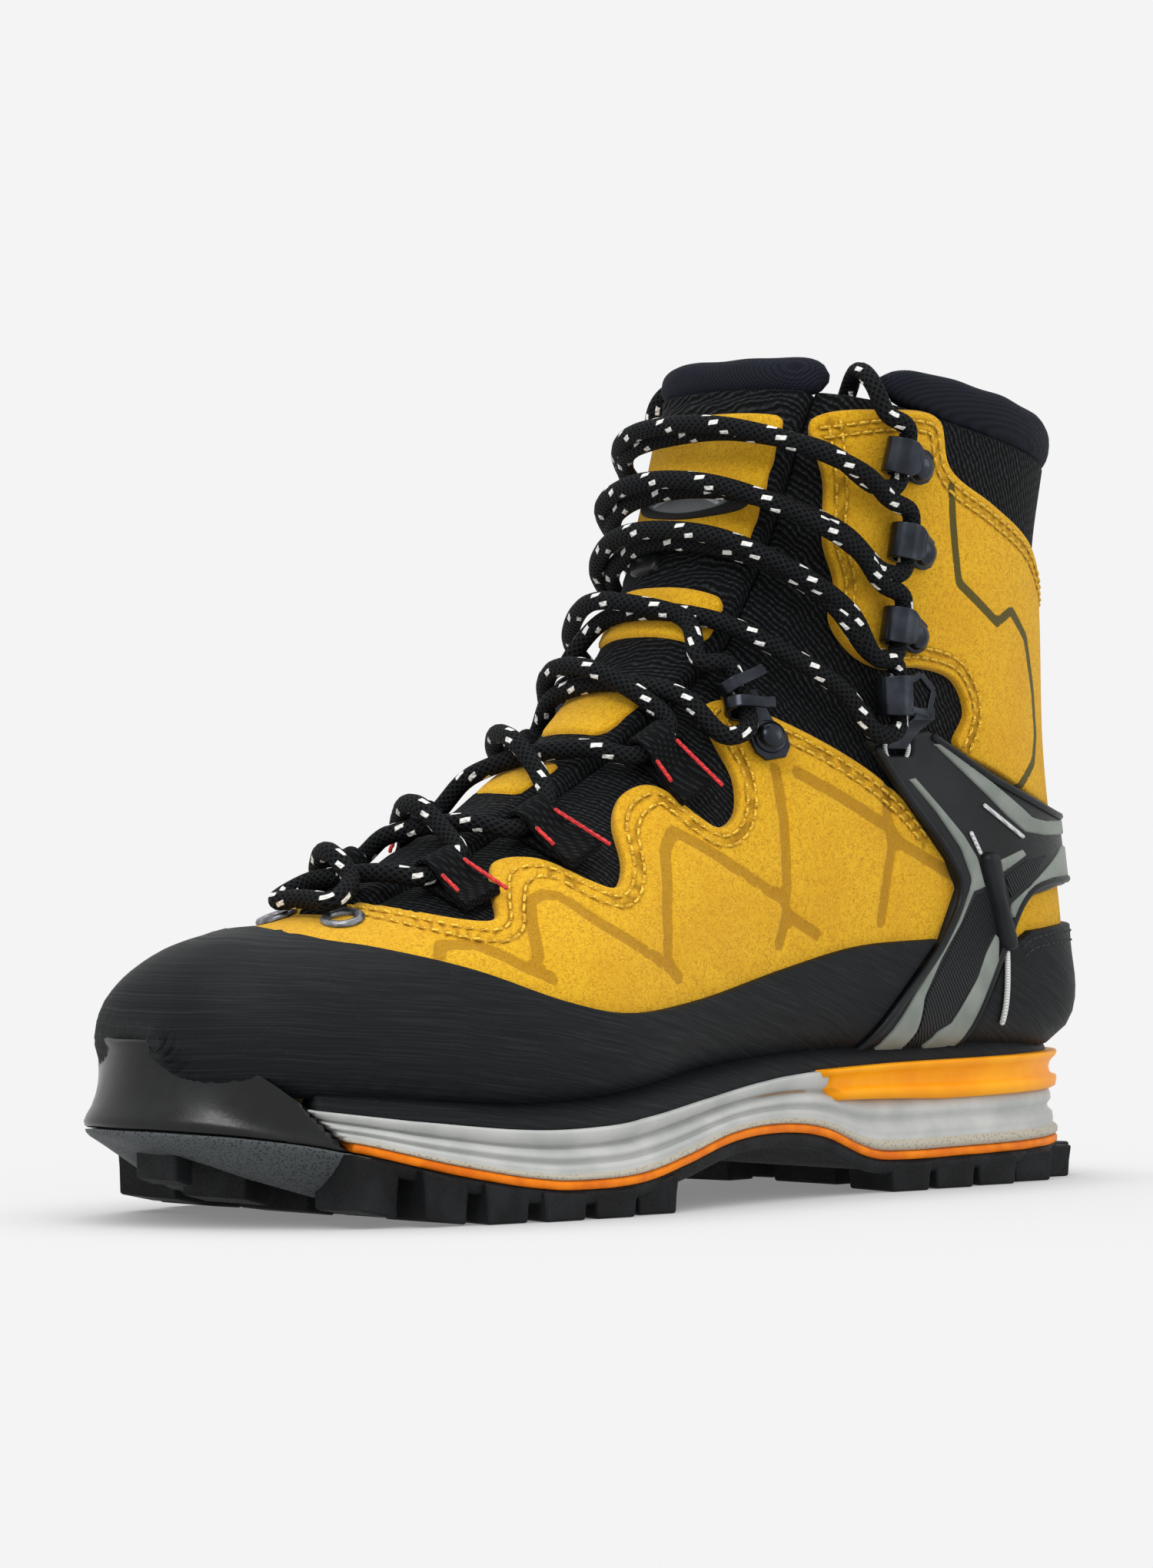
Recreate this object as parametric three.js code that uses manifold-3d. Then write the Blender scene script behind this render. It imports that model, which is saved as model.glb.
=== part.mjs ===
// Mountaineering boot, left foot, B2 class with heel crampon welt.
// Frame: millimetres, +Z up, the toe points to -X, the outer (lateral) side to -Y.
// The origin is on the ground, under the middle of the boot's box.
import * as THREE from 'three';
import { mergeVertices } from 'three/addons/utils/BufferGeometryUtils.js';
import Module from 'manifold-3d';

const wasm = await Module();
wasm.setup();

// ---------------------------------------------------------------- driving sizes
const LENGTH = 304;            // outsole, toe to heel
const WIDTH = 106;             // outsole at the ball
const UPPER_HEIGHT = 179;      // tongue side of the collar above the feather line at the ball
const TREAD = 4.5;             // depth of the lugs
const OUTSOLE_PLATE = 2.4;
const ORANGE_LAYER = 2.2;
const MIDSOLE = 12.6;          // at the ball, from the orange layer to the feather line
const WEDGE = 9.5;             // crampon welt at the heel
const BOARD = 2;
const FOOTBED = 4;
const LINING = 3.8;
const TEXTILE = 1.6;
const SUEDE = 1.8;
const RAND = 1.9;
const STRAP = 3;
const LACE = 4.6;              // diameter
const PAD = 9;                 // extra padding of the collar
const GAP = 0.3;               // clearance between touching pieces

// the shapes below are drawn for this nominal boot and follow the sizes above
const NOMINAL = { length: 304, width: 106, height: 179 };
const kx = LENGTH / NOMINAL.length;
const ky = WIDTH / NOMINAL.width;
const kz = UPPER_HEIGHT / NOMINAL.height;
const BALL = TREAD + OUTSOLE_PLATE + ORANGE_LAYER / 2 + MIDSOLE;
const BALL_NOMINAL = 20.6;
const X = (x) => x * kx;
const Y = (y) => y * ky;
const Z = (z) => BALL + (z - BALL_NOMINAL) * kz;
const lerp = (a, b, t) => a + (b - a) * t;

// ---------------------------------------------------------------- curves
/** Smooth curve through values given at whole numbers. */
function catmull(values, s) {
  const n = values.length - 1;
  const i = Math.min(Math.max(Math.floor(s), 0), n - 1);
  const t = s - i;
  const p1 = values[i];
  const p2 = values[i + 1];
  const p0 = i > 0 ? values[i - 1] : 2 * p1 - p2;
  const p3 = i + 2 <= n ? values[i + 2] : 2 * p2 - p1;
  const a = 2 * p1;
  const b = p2 - p0;
  const c = 2 * p0 - 5 * p1 + 4 * p2 - p3;
  const d = -p0 + 3 * p1 - 3 * p2 + p3;
  return 0.5 * (a + b * t + c * t * t + d * t * t * t);
}

/** Height as a smooth function of x, through points [x, z]. */
function heightLine(points) {
  return (x) => {
    const n = points.length - 1;
    let i = 0;
    while (i < n - 1 && x > points[i + 1][0]) i += 1;
    const s = (x - points[i][0]) / (points[i + 1][0] - points[i][0]);
    const zs = points.map((p) => p[1]);
    return catmull(zs, i + Math.min(Math.max(s, 0), 1));
  };
}

// heights of the sole's lines along the nominal boot
const groundLine = heightLine([[-152, 14], [-140, 9.5], [-124, 4.5], [-104, 1], [-90, 0],
  [-60, 0], [100, 0], [140, 0], [152, 1.5]]);
const groundRise = (x) => Math.max(groundLine(x), 0);
const orangeRise = heightLine([[-152, 15], [-138, 13.4], [-123, 10.5], [-100, 4.8], [-76, 0.6],
  [-60, 0], [-45, 0.8], [-30, 3.6], [-8, 8.4], [12, 9.6], [30, 7.8], [48, 2], [62, 0.9],
  [80, 1], [120, 1.4], [152, 2.2]]);
const featherRise = heightLine([[-152, 9.5], [-130, 6.2], [-108, 3.2], [-78, 0.4], [-56, 0.5],
  [-42, 1.8], [-15, 5.4], [10, 8.6], [27, 10], [60, 11], [110, 11.5], [152, 12]]);
const orangeZ = (x) => TREAD + OUTSOLE_PLATE + ORANGE_LAYER / 2 + orangeRise(x);
const featherZ = (x) => BALL + featherRise(x);

// ---------------------------------------------------------------- solids
/** Manifold solid from a closed three.js geometry. */
function solid(geometry) {
  const g = geometry.clone();
  g.deleteAttribute('normal');
  g.deleteAttribute('uv');
  const m = mergeVertices(g, 1e-4);
  const index = m.index.array;
  const at = (i) => new THREE.Vector3().fromBufferAttribute(m.attributes.position, i);
  const triVerts = [];
  let volume = 0;
  for (let i = 0; i < index.length; i += 3) {
    const [a, b, c] = [index[i], index[i + 1], index[i + 2]];
    if (a === b || b === c || a === c) continue;
    triVerts.push(a, b, c);
    volume += at(a).dot(at(b).cross(at(c)));
  }
  if (volume < 0) triVerts.reverse();
  return new wasm.Manifold(new wasm.Mesh({
    numProp: 3,
    vertProperties: new Float32Array(m.attributes.position.array),
    triVerts: new Uint32Array(triVerts),
  }));
}

/** three.js geometry from a Manifold solid, cleaned of slivers. */
function geometryOf(body, tolerance = 0.01) {
  const mesh = body.simplify(tolerance).getMesh();
  const g = new THREE.BufferGeometry();
  const positions = new Float32Array(mesh.numVert * 3);
  for (let i = 0; i < mesh.numVert; i += 1) {
    for (let k = 0; k < 3; k += 1) positions[3 * i + k] = mesh.vertProperties[i * mesh.numProp + k];
  }
  g.setAttribute('position', new THREE.BufferAttribute(positions, 3));
  g.setIndex(new THREE.BufferAttribute(new Uint32Array(mesh.triVerts), 1));
  g.computeVertexNormals();
  return g;
}

/** The largest single body of a solid, so that a cut leaves no crumbs. */
function mainBody(body) {
  const bodies = body.decompose();
  return bodies.reduce((a, b) => (a.volume() > b.volume() ? a : b));
}

/** Prism of an outline in the side view, from y0 to y1. */
function sidePrism(outline, y0, y1) {
  const shape = new THREE.Shape(outline.map(([x, z]) => new THREE.Vector2(X(x), Z(z))));
  const g = new THREE.ExtrudeGeometry(shape, { depth: y1 - y0, bevelEnabled: false, curveSegments: 1 });
  g.rotateX(Math.PI / 2);
  g.translate(0, y1, 0);
  return solid(g);
}

/** Rounded outline: corners of a polygon turned into smooth curves. */
function smoothOutline(points, steps = 4) {
  const curve = new THREE.CatmullRomCurve3(points.map(([x, z]) => new THREE.Vector3(x, z, 0)),
    true, 'centripetal');
  return curve.getPoints(points.length * steps).slice(0, -1).map((p) => [p.x, p.y]);
}

/** Open curve through points as a list of points. */
function smoothLine(points, steps = 4) {
  const curve = new THREE.CatmullRomCurve3(points.map(([x, z]) => new THREE.Vector3(x, z, 0)),
    false, 'centripetal');
  return curve.getPoints((points.length - 1) * steps).map((p) => [p.x, p.y]);
}

// ---------------------------------------------------------------- the last
// One row for each station of the fan from the toe to the collar: the point on the
// front line, the point on the sole or back line, the outer and inner half widths,
// where the section is widest (-1 sole, 1 front), and how boxy its front and sole are.
const STATIONS = [
  // front x, z      back x, z    outer inner widest front sole
  [-144.5, 42.5, -144.5, 39.5, 0.5, 0.5, 0, 2.1, 2.1],
  [-140.5, 53.5, -141, 32.5, 13, 23, -0.15, 2.1, 2.3],
  [-131, 60, -132, 30, 23, 31.5, -0.3, 2.1, 2.6],
  [-119, 63, -118, 29, 31.5, 37, -0.4, 2.1, 3],
  [-102, 67.5, -98, 26.8, 39.5, 42, -0.45, 2.1, 3.2],
  [-84, 74, -72, 25, 45, 44, -0.5, 2.1, 3.4],
  [-62, 83.5, -42, 26.6, 46.5, 42, -0.48, 2.1, 3.4],
  [-38, 96, -6, 31.2, 42, 36, -0.42, 2.2, 3.2],
  [-16, 109.5, 36, 34.2, 38, 34, -0.3, 2.3, 4.2],
  [1, 124, 86, 34.8, 36.5, 34, -0.2, 2.5, 5.5],
  [12, 137.5, 132.5, 36.5, 35.5, 34, -0.12, 2.7, 5],
  [19.5, 150, 144, 52, 35, 34, -0.1, 2.9, 3],
  [25.5, 161, 146.5, 76, 34.5, 34, -0.08, 3.1, 2.2],
  [30.5, 172, 143, 104, 34.5, 34, -0.05, 3.3, 2.1],
  [34.5, 183, 141, 132, 34.5, 34, 0, 3.4, 2.2],
  [38, 192, 139.5, 157, 35.5, 35, 0.02, 3.4, 2.2],
  [41, 199, 143, 181, 37, 36.5, 0.04, 3.4, 2.2],
];
const LAST_STATION = STATIONS.length - 1;
const SOLE_LIFT = 0.6;         // room for the lasting board
const RING_STEPS = 40;

/** Front point, back point and section shape at u from 0 (toe) to 1 (collar). */
function station(u) {
  const s = u * LAST_STATION;
  const c = (k) => catmull(STATIONS.map((row) => row[k]), s);
  return {
    front: new THREE.Vector2(X(c(0)), Z(c(1))),
    back: new THREE.Vector2(X(c(2)), Z(c(3) + SOLE_LIFT)),
    outer: Y(Math.max(c(4), 0.4)),
    inner: Y(Math.max(c(5), 0.4)),
    widest: c(6),
    frontPower: c(7),
    solePower: c(8),
  };
}

const ringCache = new Map();

/** Half section at u as points with their distance along it from the front line. */
function halfRing(u, side) {
  const key = `${u.toFixed(6)}|${side}`;
  if (ringCache.has(key)) return ringCache.get(key);
  const st = station(u);
  const width = side < 0 ? st.outer : st.inner;
  const points = [];
  for (let k = 0; k <= RING_STEPS; k += 1) {
    const angle = (Math.PI * k) / RING_STEPS;
    let t;
    let w;
    if (angle <= Math.PI / 2) {
      const a = Math.PI / 2 - angle;
      t = st.widest + (1 - st.widest) * Math.sin(a) ** (2 / st.frontPower);
      w = Math.cos(a) ** (2 / st.frontPower);
    } else {
      const a = angle - Math.PI / 2;
      t = st.widest - (1 + st.widest) * Math.sin(a) ** (2 / st.solePower);
      w = Math.cos(a) ** (2 / st.solePower);
    }
    if (k === 0 || k === RING_STEPS) w = 0;
    const p = new THREE.Vector2().lerpVectors(st.back, st.front, (t + 1) / 2);
    points.push(new THREE.Vector3(p.x, side * w * width, p.y));
  }
  const along = [0];
  for (let k = 1; k < points.length; k += 1) along.push(along[k - 1] + points[k].distanceTo(points[k - 1]));
  const ring = { points, along, girth: along[along.length - 1] };
  ringCache.set(key, ring);
  return ring;
}

/** Point of the last at u and v; v is 0 on the front line, -1 and 1 on the sole line. */
function lastPoint(u, v) {
  const ring = halfRing(Math.min(Math.max(u, 0), 1), v < 0 ? -1 : 1);
  const goal = Math.min(Math.abs(v), 1) * ring.girth;
  let k = 1;
  while (k < RING_STEPS && ring.along[k] < goal) k += 1;
  const t = (goal - ring.along[k - 1]) / (ring.along[k] - ring.along[k - 1]);
  return new THREE.Vector3().lerpVectors(ring.points[k - 1], ring.points[k], t);
}

/** Outward normal of the last. */
function lastNormal(u, v) {
  if (u < 0.01) return new THREE.Vector3(-1, 0, 0);
  const du = 0.012;
  const dv = 0.03;
  const along = lastPoint(Math.min(u + du, 1), v).sub(lastPoint(u - du, v));
  const wrap = (w) => (Math.abs(w) > 1 ? Math.sign(w) * (Math.abs(w) - 2) : w);
  const across = lastPoint(u, wrap(v + dv)).sub(lastPoint(u, wrap(v - dv)));
  return along.cross(across).normalize();
}

/** Point at a distance outside the last. */
function offsetPoint(u, v, offset) {
  return lastPoint(u, v).addScaledVector(lastNormal(u, v), offset);
}

/** u of the section that passes through a point of the side view, and v on a side. */
function locate(x, z, side) {
  const p = new THREE.Vector2(X(x), Z(z));
  let low = 0.05;
  let high = 1;
  for (let i = 0; i < 40; i += 1) {
    const mid = (low + high) / 2;
    const st = station(mid);
    const a = st.front.clone().sub(st.back);
    const b = p.clone().sub(st.back);
    if (a.x * b.y - a.y * b.x > 0) high = mid;
    else low = mid;
  }
  const u = (low + high) / 2;
  const ring = halfRing(u, side);
  let best = 0;
  let nearest = Infinity;
  for (let k = 1; k <= 200; k += 1) {
    const q = lastPoint(u, (side * k) / 200);
    const d = Math.hypot(q.x - p.x, q.z - p.y);
    if (d < nearest) {
      nearest = d;
      best = k / 200;
    }
  }
  return { u, v: side * best, girth: ring.girth };
}

// grid shared by every layer, so that neighbouring layers have parallel facets
const GRID_U = [0, 0.035, 0.08, 0.14, 0.205, 0.27, 0.34, 0.41, 0.48, 0.55, 0.63, 0.7, 0.77, 0.85,
  0.93, 1];
const GRID_V = [0, 0.17, 0.36, 0.55, 0.73, 0.88, 1];

/** Closed stack of rings of equal length, with a fan cap at each end. */
function ringStack(rings) {
  const n = rings[0].length;
  const points = rings.flat();
  const index = [];
  for (let i = 0; i < rings.length - 1; i += 1) {
    for (let j = 0; j < n; j += 1) {
      const k = (j + 1) % n;
      const [a, b, c, d] = [i * n + j, i * n + k, (i + 1) * n + k, (i + 1) * n + j];
      index.push(a, b, c, a, c, d);
    }
  }
  for (const end of [0, rings.length - 1]) {
    const centre = new THREE.Vector3();
    for (const p of rings[end]) centre.addScaledVector(p, 1 / n);
    points.push(centre);
    for (let j = 0; j < n; j += 1) {
      const k = (j + 1) % n;
      if (end === 0) index.push(points.length - 1, end * n + k, end * n + j);
      else index.push(points.length - 1, end * n + j, end * n + k);
    }
  }
  const g = new THREE.BufferGeometry();
  g.setAttribute('position', new THREE.Float32BufferAttribute(points.flatMap((p) => [p.x, p.y, p.z]), 3));
  g.setIndex(index);
  return g;
}

const RING_V = [...GRID_V.slice(1).reverse().map((v) => -v), ...GRID_V.slice(0, -1)];

/** Solid inside one offset of the last; it reaches above the collar by a height. */
function block(offset, above = 0) {
  const rings = GRID_U.map((u) => RING_V.map((v) => offsetPoint(u, v, offset)));
  if (above > 0) {
    rings.push(rings[rings.length - 1].map((p) => p.clone().add(new THREE.Vector3(0, 0, above))));
  }
  return solid(ringStack(rings));
}

/** Shell of the upper between two offsets of the last, open at the collar. */
const shell = (low, high) => block(high).subtract(block(low, 20));

/** Patch between two offsets, over a strip of the last given by its edges in mm from the
 *  front line; the edges are functions of u. */
function strip(u0, u1, left, right, low, high, across = 6, extra = []) {
  const inside = [...GRID_U, ...extra].filter((u) => u > u0 + 0.004 && u < u1 - 0.004);
  const us = [u0, ...inside.sort((a, b) => a - b), u1];
  const rings = us.map((u) => {
    const a = left(u);
    const b = right(u);
    const place = (s, offset) => {
      const mm = lerp(a, b, s);
      return offsetPoint(u, mm / halfRing(u, mm < 0 ? -1 : 1).girth, offset);
    };
    const ring = [];
    for (let j = 0; j <= across; j += 1) ring.push(place(j / across, high));
    for (let j = across; j >= 0; j -= 1) ring.push(place(j / across, low));
    return ring;
  });
  return solid(ringStack(rings));
}

// ---------------------------------------------------------------- the sole
const SOLE_OUTER = [[-154.5, 6], [-148, -12], [-132, -28], [-108, -43], [-78, -51.5], [-52, -54],
  [-20, -49], [18, -42.5], [60, -39.5], [105, -38.5], [134, -28], [146.5, -13], [149.5, 0]];
const SOLE_INNER = [[-154.5, 6], [-150, 23], [-136, 36], [-111, 46], [-80, 51], [-54, 51],
  [-22, 42], [18, 35], [60, 35], [105, 37.5], [134, 28], [146.5, 13], [149.5, 0]];
const SOLE_STEPS = 2;

/** Outline of the sole, moved inward, as pairs of points from toe to heel. */
function soleRing(inset) {
  const edge = (rows) => new THREE.SplineCurve(rows.map(([x, y]) => new THREE.Vector2(X(x), Y(y))))
    .getPoints((rows.length - 1) * SOLE_STEPS);
  const outer = edge(SOLE_OUTER);
  const inner = edge(SOLE_INNER);
  const loop = [...outer, ...inner.slice(1, -1).reverse()];
  return loop.map((p, i) => {
    const next = loop[(i + 1) % loop.length];
    const last = loop[(i + loop.length - 1) % loop.length];
    const along = next.clone().sub(last).normalize();
    return { x: p.x - along.y * inset, y: p.y + along.x * inset, station: p.x / kx };
  });
}

/** Closed slab of the sole; rows go from its bottom to its top as { inset, z }. */
function slab(rows) {
  const half = (SOLE_OUTER.length - 1) * SOLE_STEPS;
  const rings = rows.map(({ inset, z }) => soleRing(inset)
    .map((p) => new THREE.Vector3(p.x, p.y, z(p.station))));
  const n = rings[0].length;
  const points = rings.flat();
  const index = [];
  for (let i = 0; i < rings.length - 1; i += 1) {
    for (let j = 0; j < n; j += 1) {
      const k = (j + 1) % n;
      const [a, b, c, d] = [i * n + j, i * n + k, (i + 1) * n + k, (i + 1) * n + j];
      index.push(a, b, c, a, c, d);
    }
  }
  const top = (rings.length - 1) * n;
  for (let j = 0; j < half; j += 1) {
    const [a, b] = [j, j + 1];
    const [c, d] = [(n - j - 1) % n, (n - j) % n];
    index.push(a, c, b, top + a, top + b, top + c);
    if (j > 0) index.push(a, d, c, top + a, top + c, top + d);
  }
  const g = new THREE.BufferGeometry();
  g.setAttribute('position', new THREE.Float32BufferAttribute(points.flatMap((p) => [p.x, p.y, p.z]), 3));
  g.setIndex(index);
  return solid(g);
}

const plateTop = (x) => orangeZ(x) - ORANGE_LAYER / 2;
const plateBottom = (x) => plateTop(x) - OUTSOLE_PLATE;
const bumperTop = heightLine([[-152, 20], [-147, 20.4], [-143, 16.3], [-137, 11], [-130, 6.2],
  [-122, 0], [-100, -16], [152, -16]]);

/** One lug: a tapered prism from the ground to the plate. */
function lug(x, y, long, wide, turn) {
  const taper = 0.86;
  const shape = new THREE.Shape();
  const [a, b] = [X(long) / 2, Y(wide) / 2];
  shape.moveTo(-a, -b);
  shape.lineTo(a, -b);
  shape.lineTo(a, b);
  shape.lineTo(-a, b);
  const depth = Math.min(plateTop(x - long / 2), plateTop(x + long / 2), plateTop(x)) - 0.8 - groundRise(x);
  const g = new THREE.ExtrudeGeometry(shape, { depth, bevelEnabled: false });
  const p = g.attributes.position;
  for (let i = 0; i < p.count; i += 1) {
    if (p.getZ(i) < depth / 2) p.setXY(i, p.getX(i) * taper, p.getY(i) * taper);
  }
  g.rotateZ(turn);
  g.translate(X(x), Y(y), groundRise(x));
  return solid(g);
}

// lugs as [x, y, length, width, turn]; edge lugs follow both sides of the outline
const EDGE_LUGS = [[-116, 0.78], [-99, 0.8], [-82, 0.82], [-65, 0.82], [-48, 0.82], [-31, 0.82],
  [66, 0.78], [83, 0.78], [100, 0.78], [117, 0.76]];
const LUG_LONG = 12.5;
const LUG_WIDE = 17;
const CENTRE_LUGS = [[-124, 4, 9, 22], [-107, 2, 10, 26], [-88, 0, 11, 30], [-68, -2, 11, 30],
  [-48, -2, 11, 28], [72, 0, 10, 22], [92, 0, 10, 22], [138, -14, 13, 18], [138, 13, 13, 18],
  [-139, 8, 9, 26]];

/** Half width of the sole at x on a side. */
function soleHalf(x, side) {
  const ring = soleRing(0).filter((p) => (side < 0 ? p.y < 3 : p.y > 3));
  ring.sort((p, q) => Math.abs(p.station - x) - Math.abs(q.station - x));
  return Math.abs(ring[0].y) / ky;
}

function makeOutsole() {
  let body = slab([{ inset: 3, z: plateBottom }, { inset: 0.6, z: (x) => plateTop(x) - 0.7 },
    { inset: 0.6, z: plateTop }]);
  for (const side of [-1, 1]) {
    for (const [x, share] of EDGE_LUGS) {
      body = body.add(lug(x, side * soleHalf(x, side) * share, LUG_LONG, LUG_WIDE, side * 0.12));
    }
  }
  for (const [x, y, long, wide] of CENTRE_LUGS) body = body.add(lug(x, y, long, wide, 0));
  return body;
}

const LEDGE = 27.5;            // front end of the heel wedge on the nominal boot
const wedgeBottom = (x) => featherZ(x) - WEDGE * Math.min(1, 0.75 + (x - LEDGE) / 200);

function makeMidsole() {
  const bottom = (x) => orangeZ(x) + ORANGE_LAYER / 2 + GAP;
  const at = (t) => (x) => lerp(bottom(x), featherZ(x), t);
  return slab([{ inset: 0.6, z: at(0) }, { inset: -0.6, z: at(0.1) }, { inset: 1.6, z: at(0.3) },
    { inset: 3.4, z: at(0.55) }, { inset: 2.2, z: at(0.8) }, { inset: 1.6, z: at(1) }]);
}

const soleCutter = (inset, low, high) => slab([{ inset, z: low }, { inset, z: high }]);
const sideCut = (outline) => sidePrism(outline, Y(-90), Y(90));
const bumperFace = (shift) => [[-124 + shift, 4], [-129 + shift, 27.5], [-131 + shift, 60], [20, 60],
  [20, 4]];

// ---------------------------------------------------------------- outlines in the side view
const TOE_RAND = [[-126, 74], ...smoothLine([[-120, 67], [-116, 62], [-106, 60], [-88, 56],
  [-66, 49.5], [-47, 46.7], [-20, 49], [16, 56], [44, 61], [73.6, 62.4]], 2), [37.6, 31], [36.6, 10],
  [-170, 10], [-170, 74]];
const HEEL_RAND = [[82.8, 31.6], [100.8, 59.4], [110, 64], [134, 65.5], [170, 67], [170, 10],
  [84, 10]];
const HEEL_STRAP = [[50, 111.5], [53.6, 112], [53.6, 108.2], [64.4, 108.2], [64.4, 113.6],
  [71, 114.5], [98, 102.5], [128, 94], [170, 96], [170, 74], [128, 75], [108, 72], [99.6, 59.8],
  [81.6, 31.6], [80, 10], [38, 10], [39, 31], [74.6, 62], [82, 75], [78, 82], [60, 100]];
const SUEDE_EDGE = smoothLine([[-97, 74], [-90, 70.5], [-80, 67.8], [-73, 68], [-69, 73], [-61, 80.5],
  [-52, 81.8], [-44, 77], [-38, 75.3], [-33, 80], [-29, 90], [-22, 97], [-13, 99.5], [-5, 92.5],
  [0, 89.8], [6, 93], [8.5, 101], [6.5, 111], [7, 118.5], [14, 121], [24, 117], [42, 109.4],
  [55, 103], [66, 96], [74, 89]], 2);
const LOWER_SUEDE = [...SUEDE_EDGE, [100, 84], [128, 82], [170, 81], [170, 10], [-170, 10],
  [-170, 80], [-104, 80]];
const CUFF_SUEDE = smoothOutline([[43, 191], [60, 194], [76, 192.5], [81, 181], [98, 172.5],
  [117, 164], [132, 153.5], [144, 148], [166, 147], [170, 96], [128, 95.5], [100, 104],
  [84, 111], [88.5, 119], [84, 127], [71, 130], [58, 129.5], [49, 133], [43, 141], [45, 150],
  [42.5, 160], [43.5, 175]], 2);
const TOE_PUFF = [[-170, 10], [-108, 10], [-112, 90], [-170, 90]];
const HEEL_COUNTER = [[104, 10], [112, 80], [140, 92], [170, 92], [170, 10]];

// half width of the throat in mm along the last, at places of the fan
const THROAT = [[0.25, 6], [0.48, 12.5], [0.63, 21], [1, 25]];
const THROAT_START = THROAT[0][0];

/** Half width of the throat at u. */
function throatHalf(u) {
  let i = 0;
  while (i < THROAT.length - 2 && u > THROAT[i + 1][0]) i += 1;
  const [a, b] = [THROAT[i], THROAT[i + 1]];
  return Y(lerp(a[1], b[1], (u - a[0]) / (b[0] - a[0])));
}

// ---------------------------------------------------------------- the upper
const BOARD_INSET = 11;
const BOARD_TOE = -134;
const boardTop = (x) => featherZ(x) + GAP + BOARD;
const soleBlock = soleCutter(-25, () => -20, (x) => featherZ(x) + GAP)
  .add(soleCutter(BOARD_INSET, () => -20, (x) => boardTop(x) + GAP));
const throat = strip(THROAT_START, 1, (u) => -throatHalf(u), throatHalf, -25, 14)
  .add(strip(0.9, 1, (u) => -throatHalf(u), throatHalf, -25, 14).translate(0, 0, 10));
const LINING_OUT = -(TEXTILE + GAP);
const LINING_IN = LINING_OUT - LINING;
const STIFFENER = 1.2;
const stiffenerSlot = shell(LINING_OUT - STIFFENER - GAP, LINING_OUT + 1);
const lining = shell(LINING_IN, LINING_OUT).subtract(throat);
const stiffener = shell(LINING_OUT - STIFFENER, LINING_OUT);
const SUEDE_LOW = GAP;
const SUEDE_HIGH = GAP + SUEDE;
const OVER = SUEDE_HIGH + GAP;
const suede = shell(SUEDE_LOW, SUEDE_HIGH).subtract(soleBlock);
const rubber = shell(OVER, OVER + RAND).subtract(soleBlock);
const moulded = shell(OVER, OVER + STRAP).subtract(soleBlock);
const cavity = block(LINING_IN - GAP);
const half = (side) => (side < 0 ? [Y(-95), -GAP / 2] : [GAP / 2, Y(95)]);
const vampCut = [[-170, 0], [34, 0], [-15, 130], [-170, 130]];
const rearCut = [[34.4, 0], [-14.6, 130], [10, 240], [190, 240], [190, 0]];

// ---------------------------------------------------------------- places on the upper
/** Turn and place of a fitting: local x points away from the throat, to the heel on the outer
 *  side of the cuff, y up the boot and z out of the surface. Mostly y follows the world's
 *  up; where it follows the throat the fitting lies along the edge of the throat. */
function seatAt(u, v, side, offset, tilt, alongThroat = false) {
  const out = lastNormal(u, v);
  const back = new THREE.Vector3(side < 0 ? 1 : -1, 0, 0);
  let up = out.clone().cross(back).normalize();
  if (alongThroat) {
    const step = 0.01;
    up = offsetPoint(u + step, v, 0).sub(offsetPoint(u - step, v, 0));
    up.addScaledVector(out, -up.dot(out)).normalize();
  }
  const right = up.clone().cross(out).normalize();
  const m = new THREE.Matrix4().makeBasis(right, up, out).setPosition(offsetPoint(u, v, offset));
  return m.multiply(new THREE.Matrix4().makeRotationZ(side < 0 ? tilt : -tilt));
}

/** Extrusion of a profile drawn in local x and z, centred on local y. */
function profileBar(points, holes, width) {
  const shape = new THREE.Shape(points.map(([x, z]) => new THREE.Vector2(x, z)));
  for (const hole of holes) shape.holes.push(new THREE.Path(hole.map(([x, z]) => new THREE.Vector2(x, z))));
  const g = new THREE.ExtrudeGeometry(shape, { depth: width, bevelEnabled: false });
  g.rotateX(Math.PI / 2);
  g.translate(0, width / 2, 0);
  return g;
}

const arc = (cx, cz, r, from, to, steps = 5) => Array.from({ length: steps + 1 }, (_, i) => {
  const a = lerp(from, to, i / steps);
  return [cx + r * Math.cos(a), cz + r * Math.sin(a)];
});

const LOOP_WIDTH = 9;
const EYE_WALL = 1.3;          // webbing around the lace
const HOOK_PLATE = 1.2;
const HOOK_ROOM = LACE + 1.6;  // between the plate and the lip
const HOOK_WIDTH = 9;
const LOCK_WIDTH = 11;
const STRAP_HOOK_WIDTH = 10;
const HOOK_LONG = 10;
const LACE_HEIGHT = HOOK_PLATE + HOOK_ROOM / 2;

/** Open lace hook with its dome rivet; the lace runs along local y. */
function hookGeometry(mirror) {
  const r = HOOK_ROOM / 2;
  const cz = HOOK_PLATE + r;
  const outline = [[HOOK_LONG, 0], [HOOK_LONG, HOOK_PLATE],
    ...arc(-1, cz, r, -Math.PI / 2, -1.5 * Math.PI), [3.5, cz + r],
    [3.5, cz + r + HOOK_PLATE], ...arc(-1, cz, r + HOOK_PLATE, -1.5 * Math.PI, -Math.PI / 2)];
  const plate = solid(profileBar(outline.map(([x, z]) => [mirror * x, z]), [], HOOK_WIDTH));
  const dome = new THREE.CylinderGeometry(2.2, 3.6, 1.6, 12);
  dome.rotateX(Math.PI / 2);
  dome.translate(mirror * (HOOK_LONG - 4), 0, HOOK_PLATE + 0.6);
  return geometryOf(plate.add(solid(dome)));
}

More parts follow.
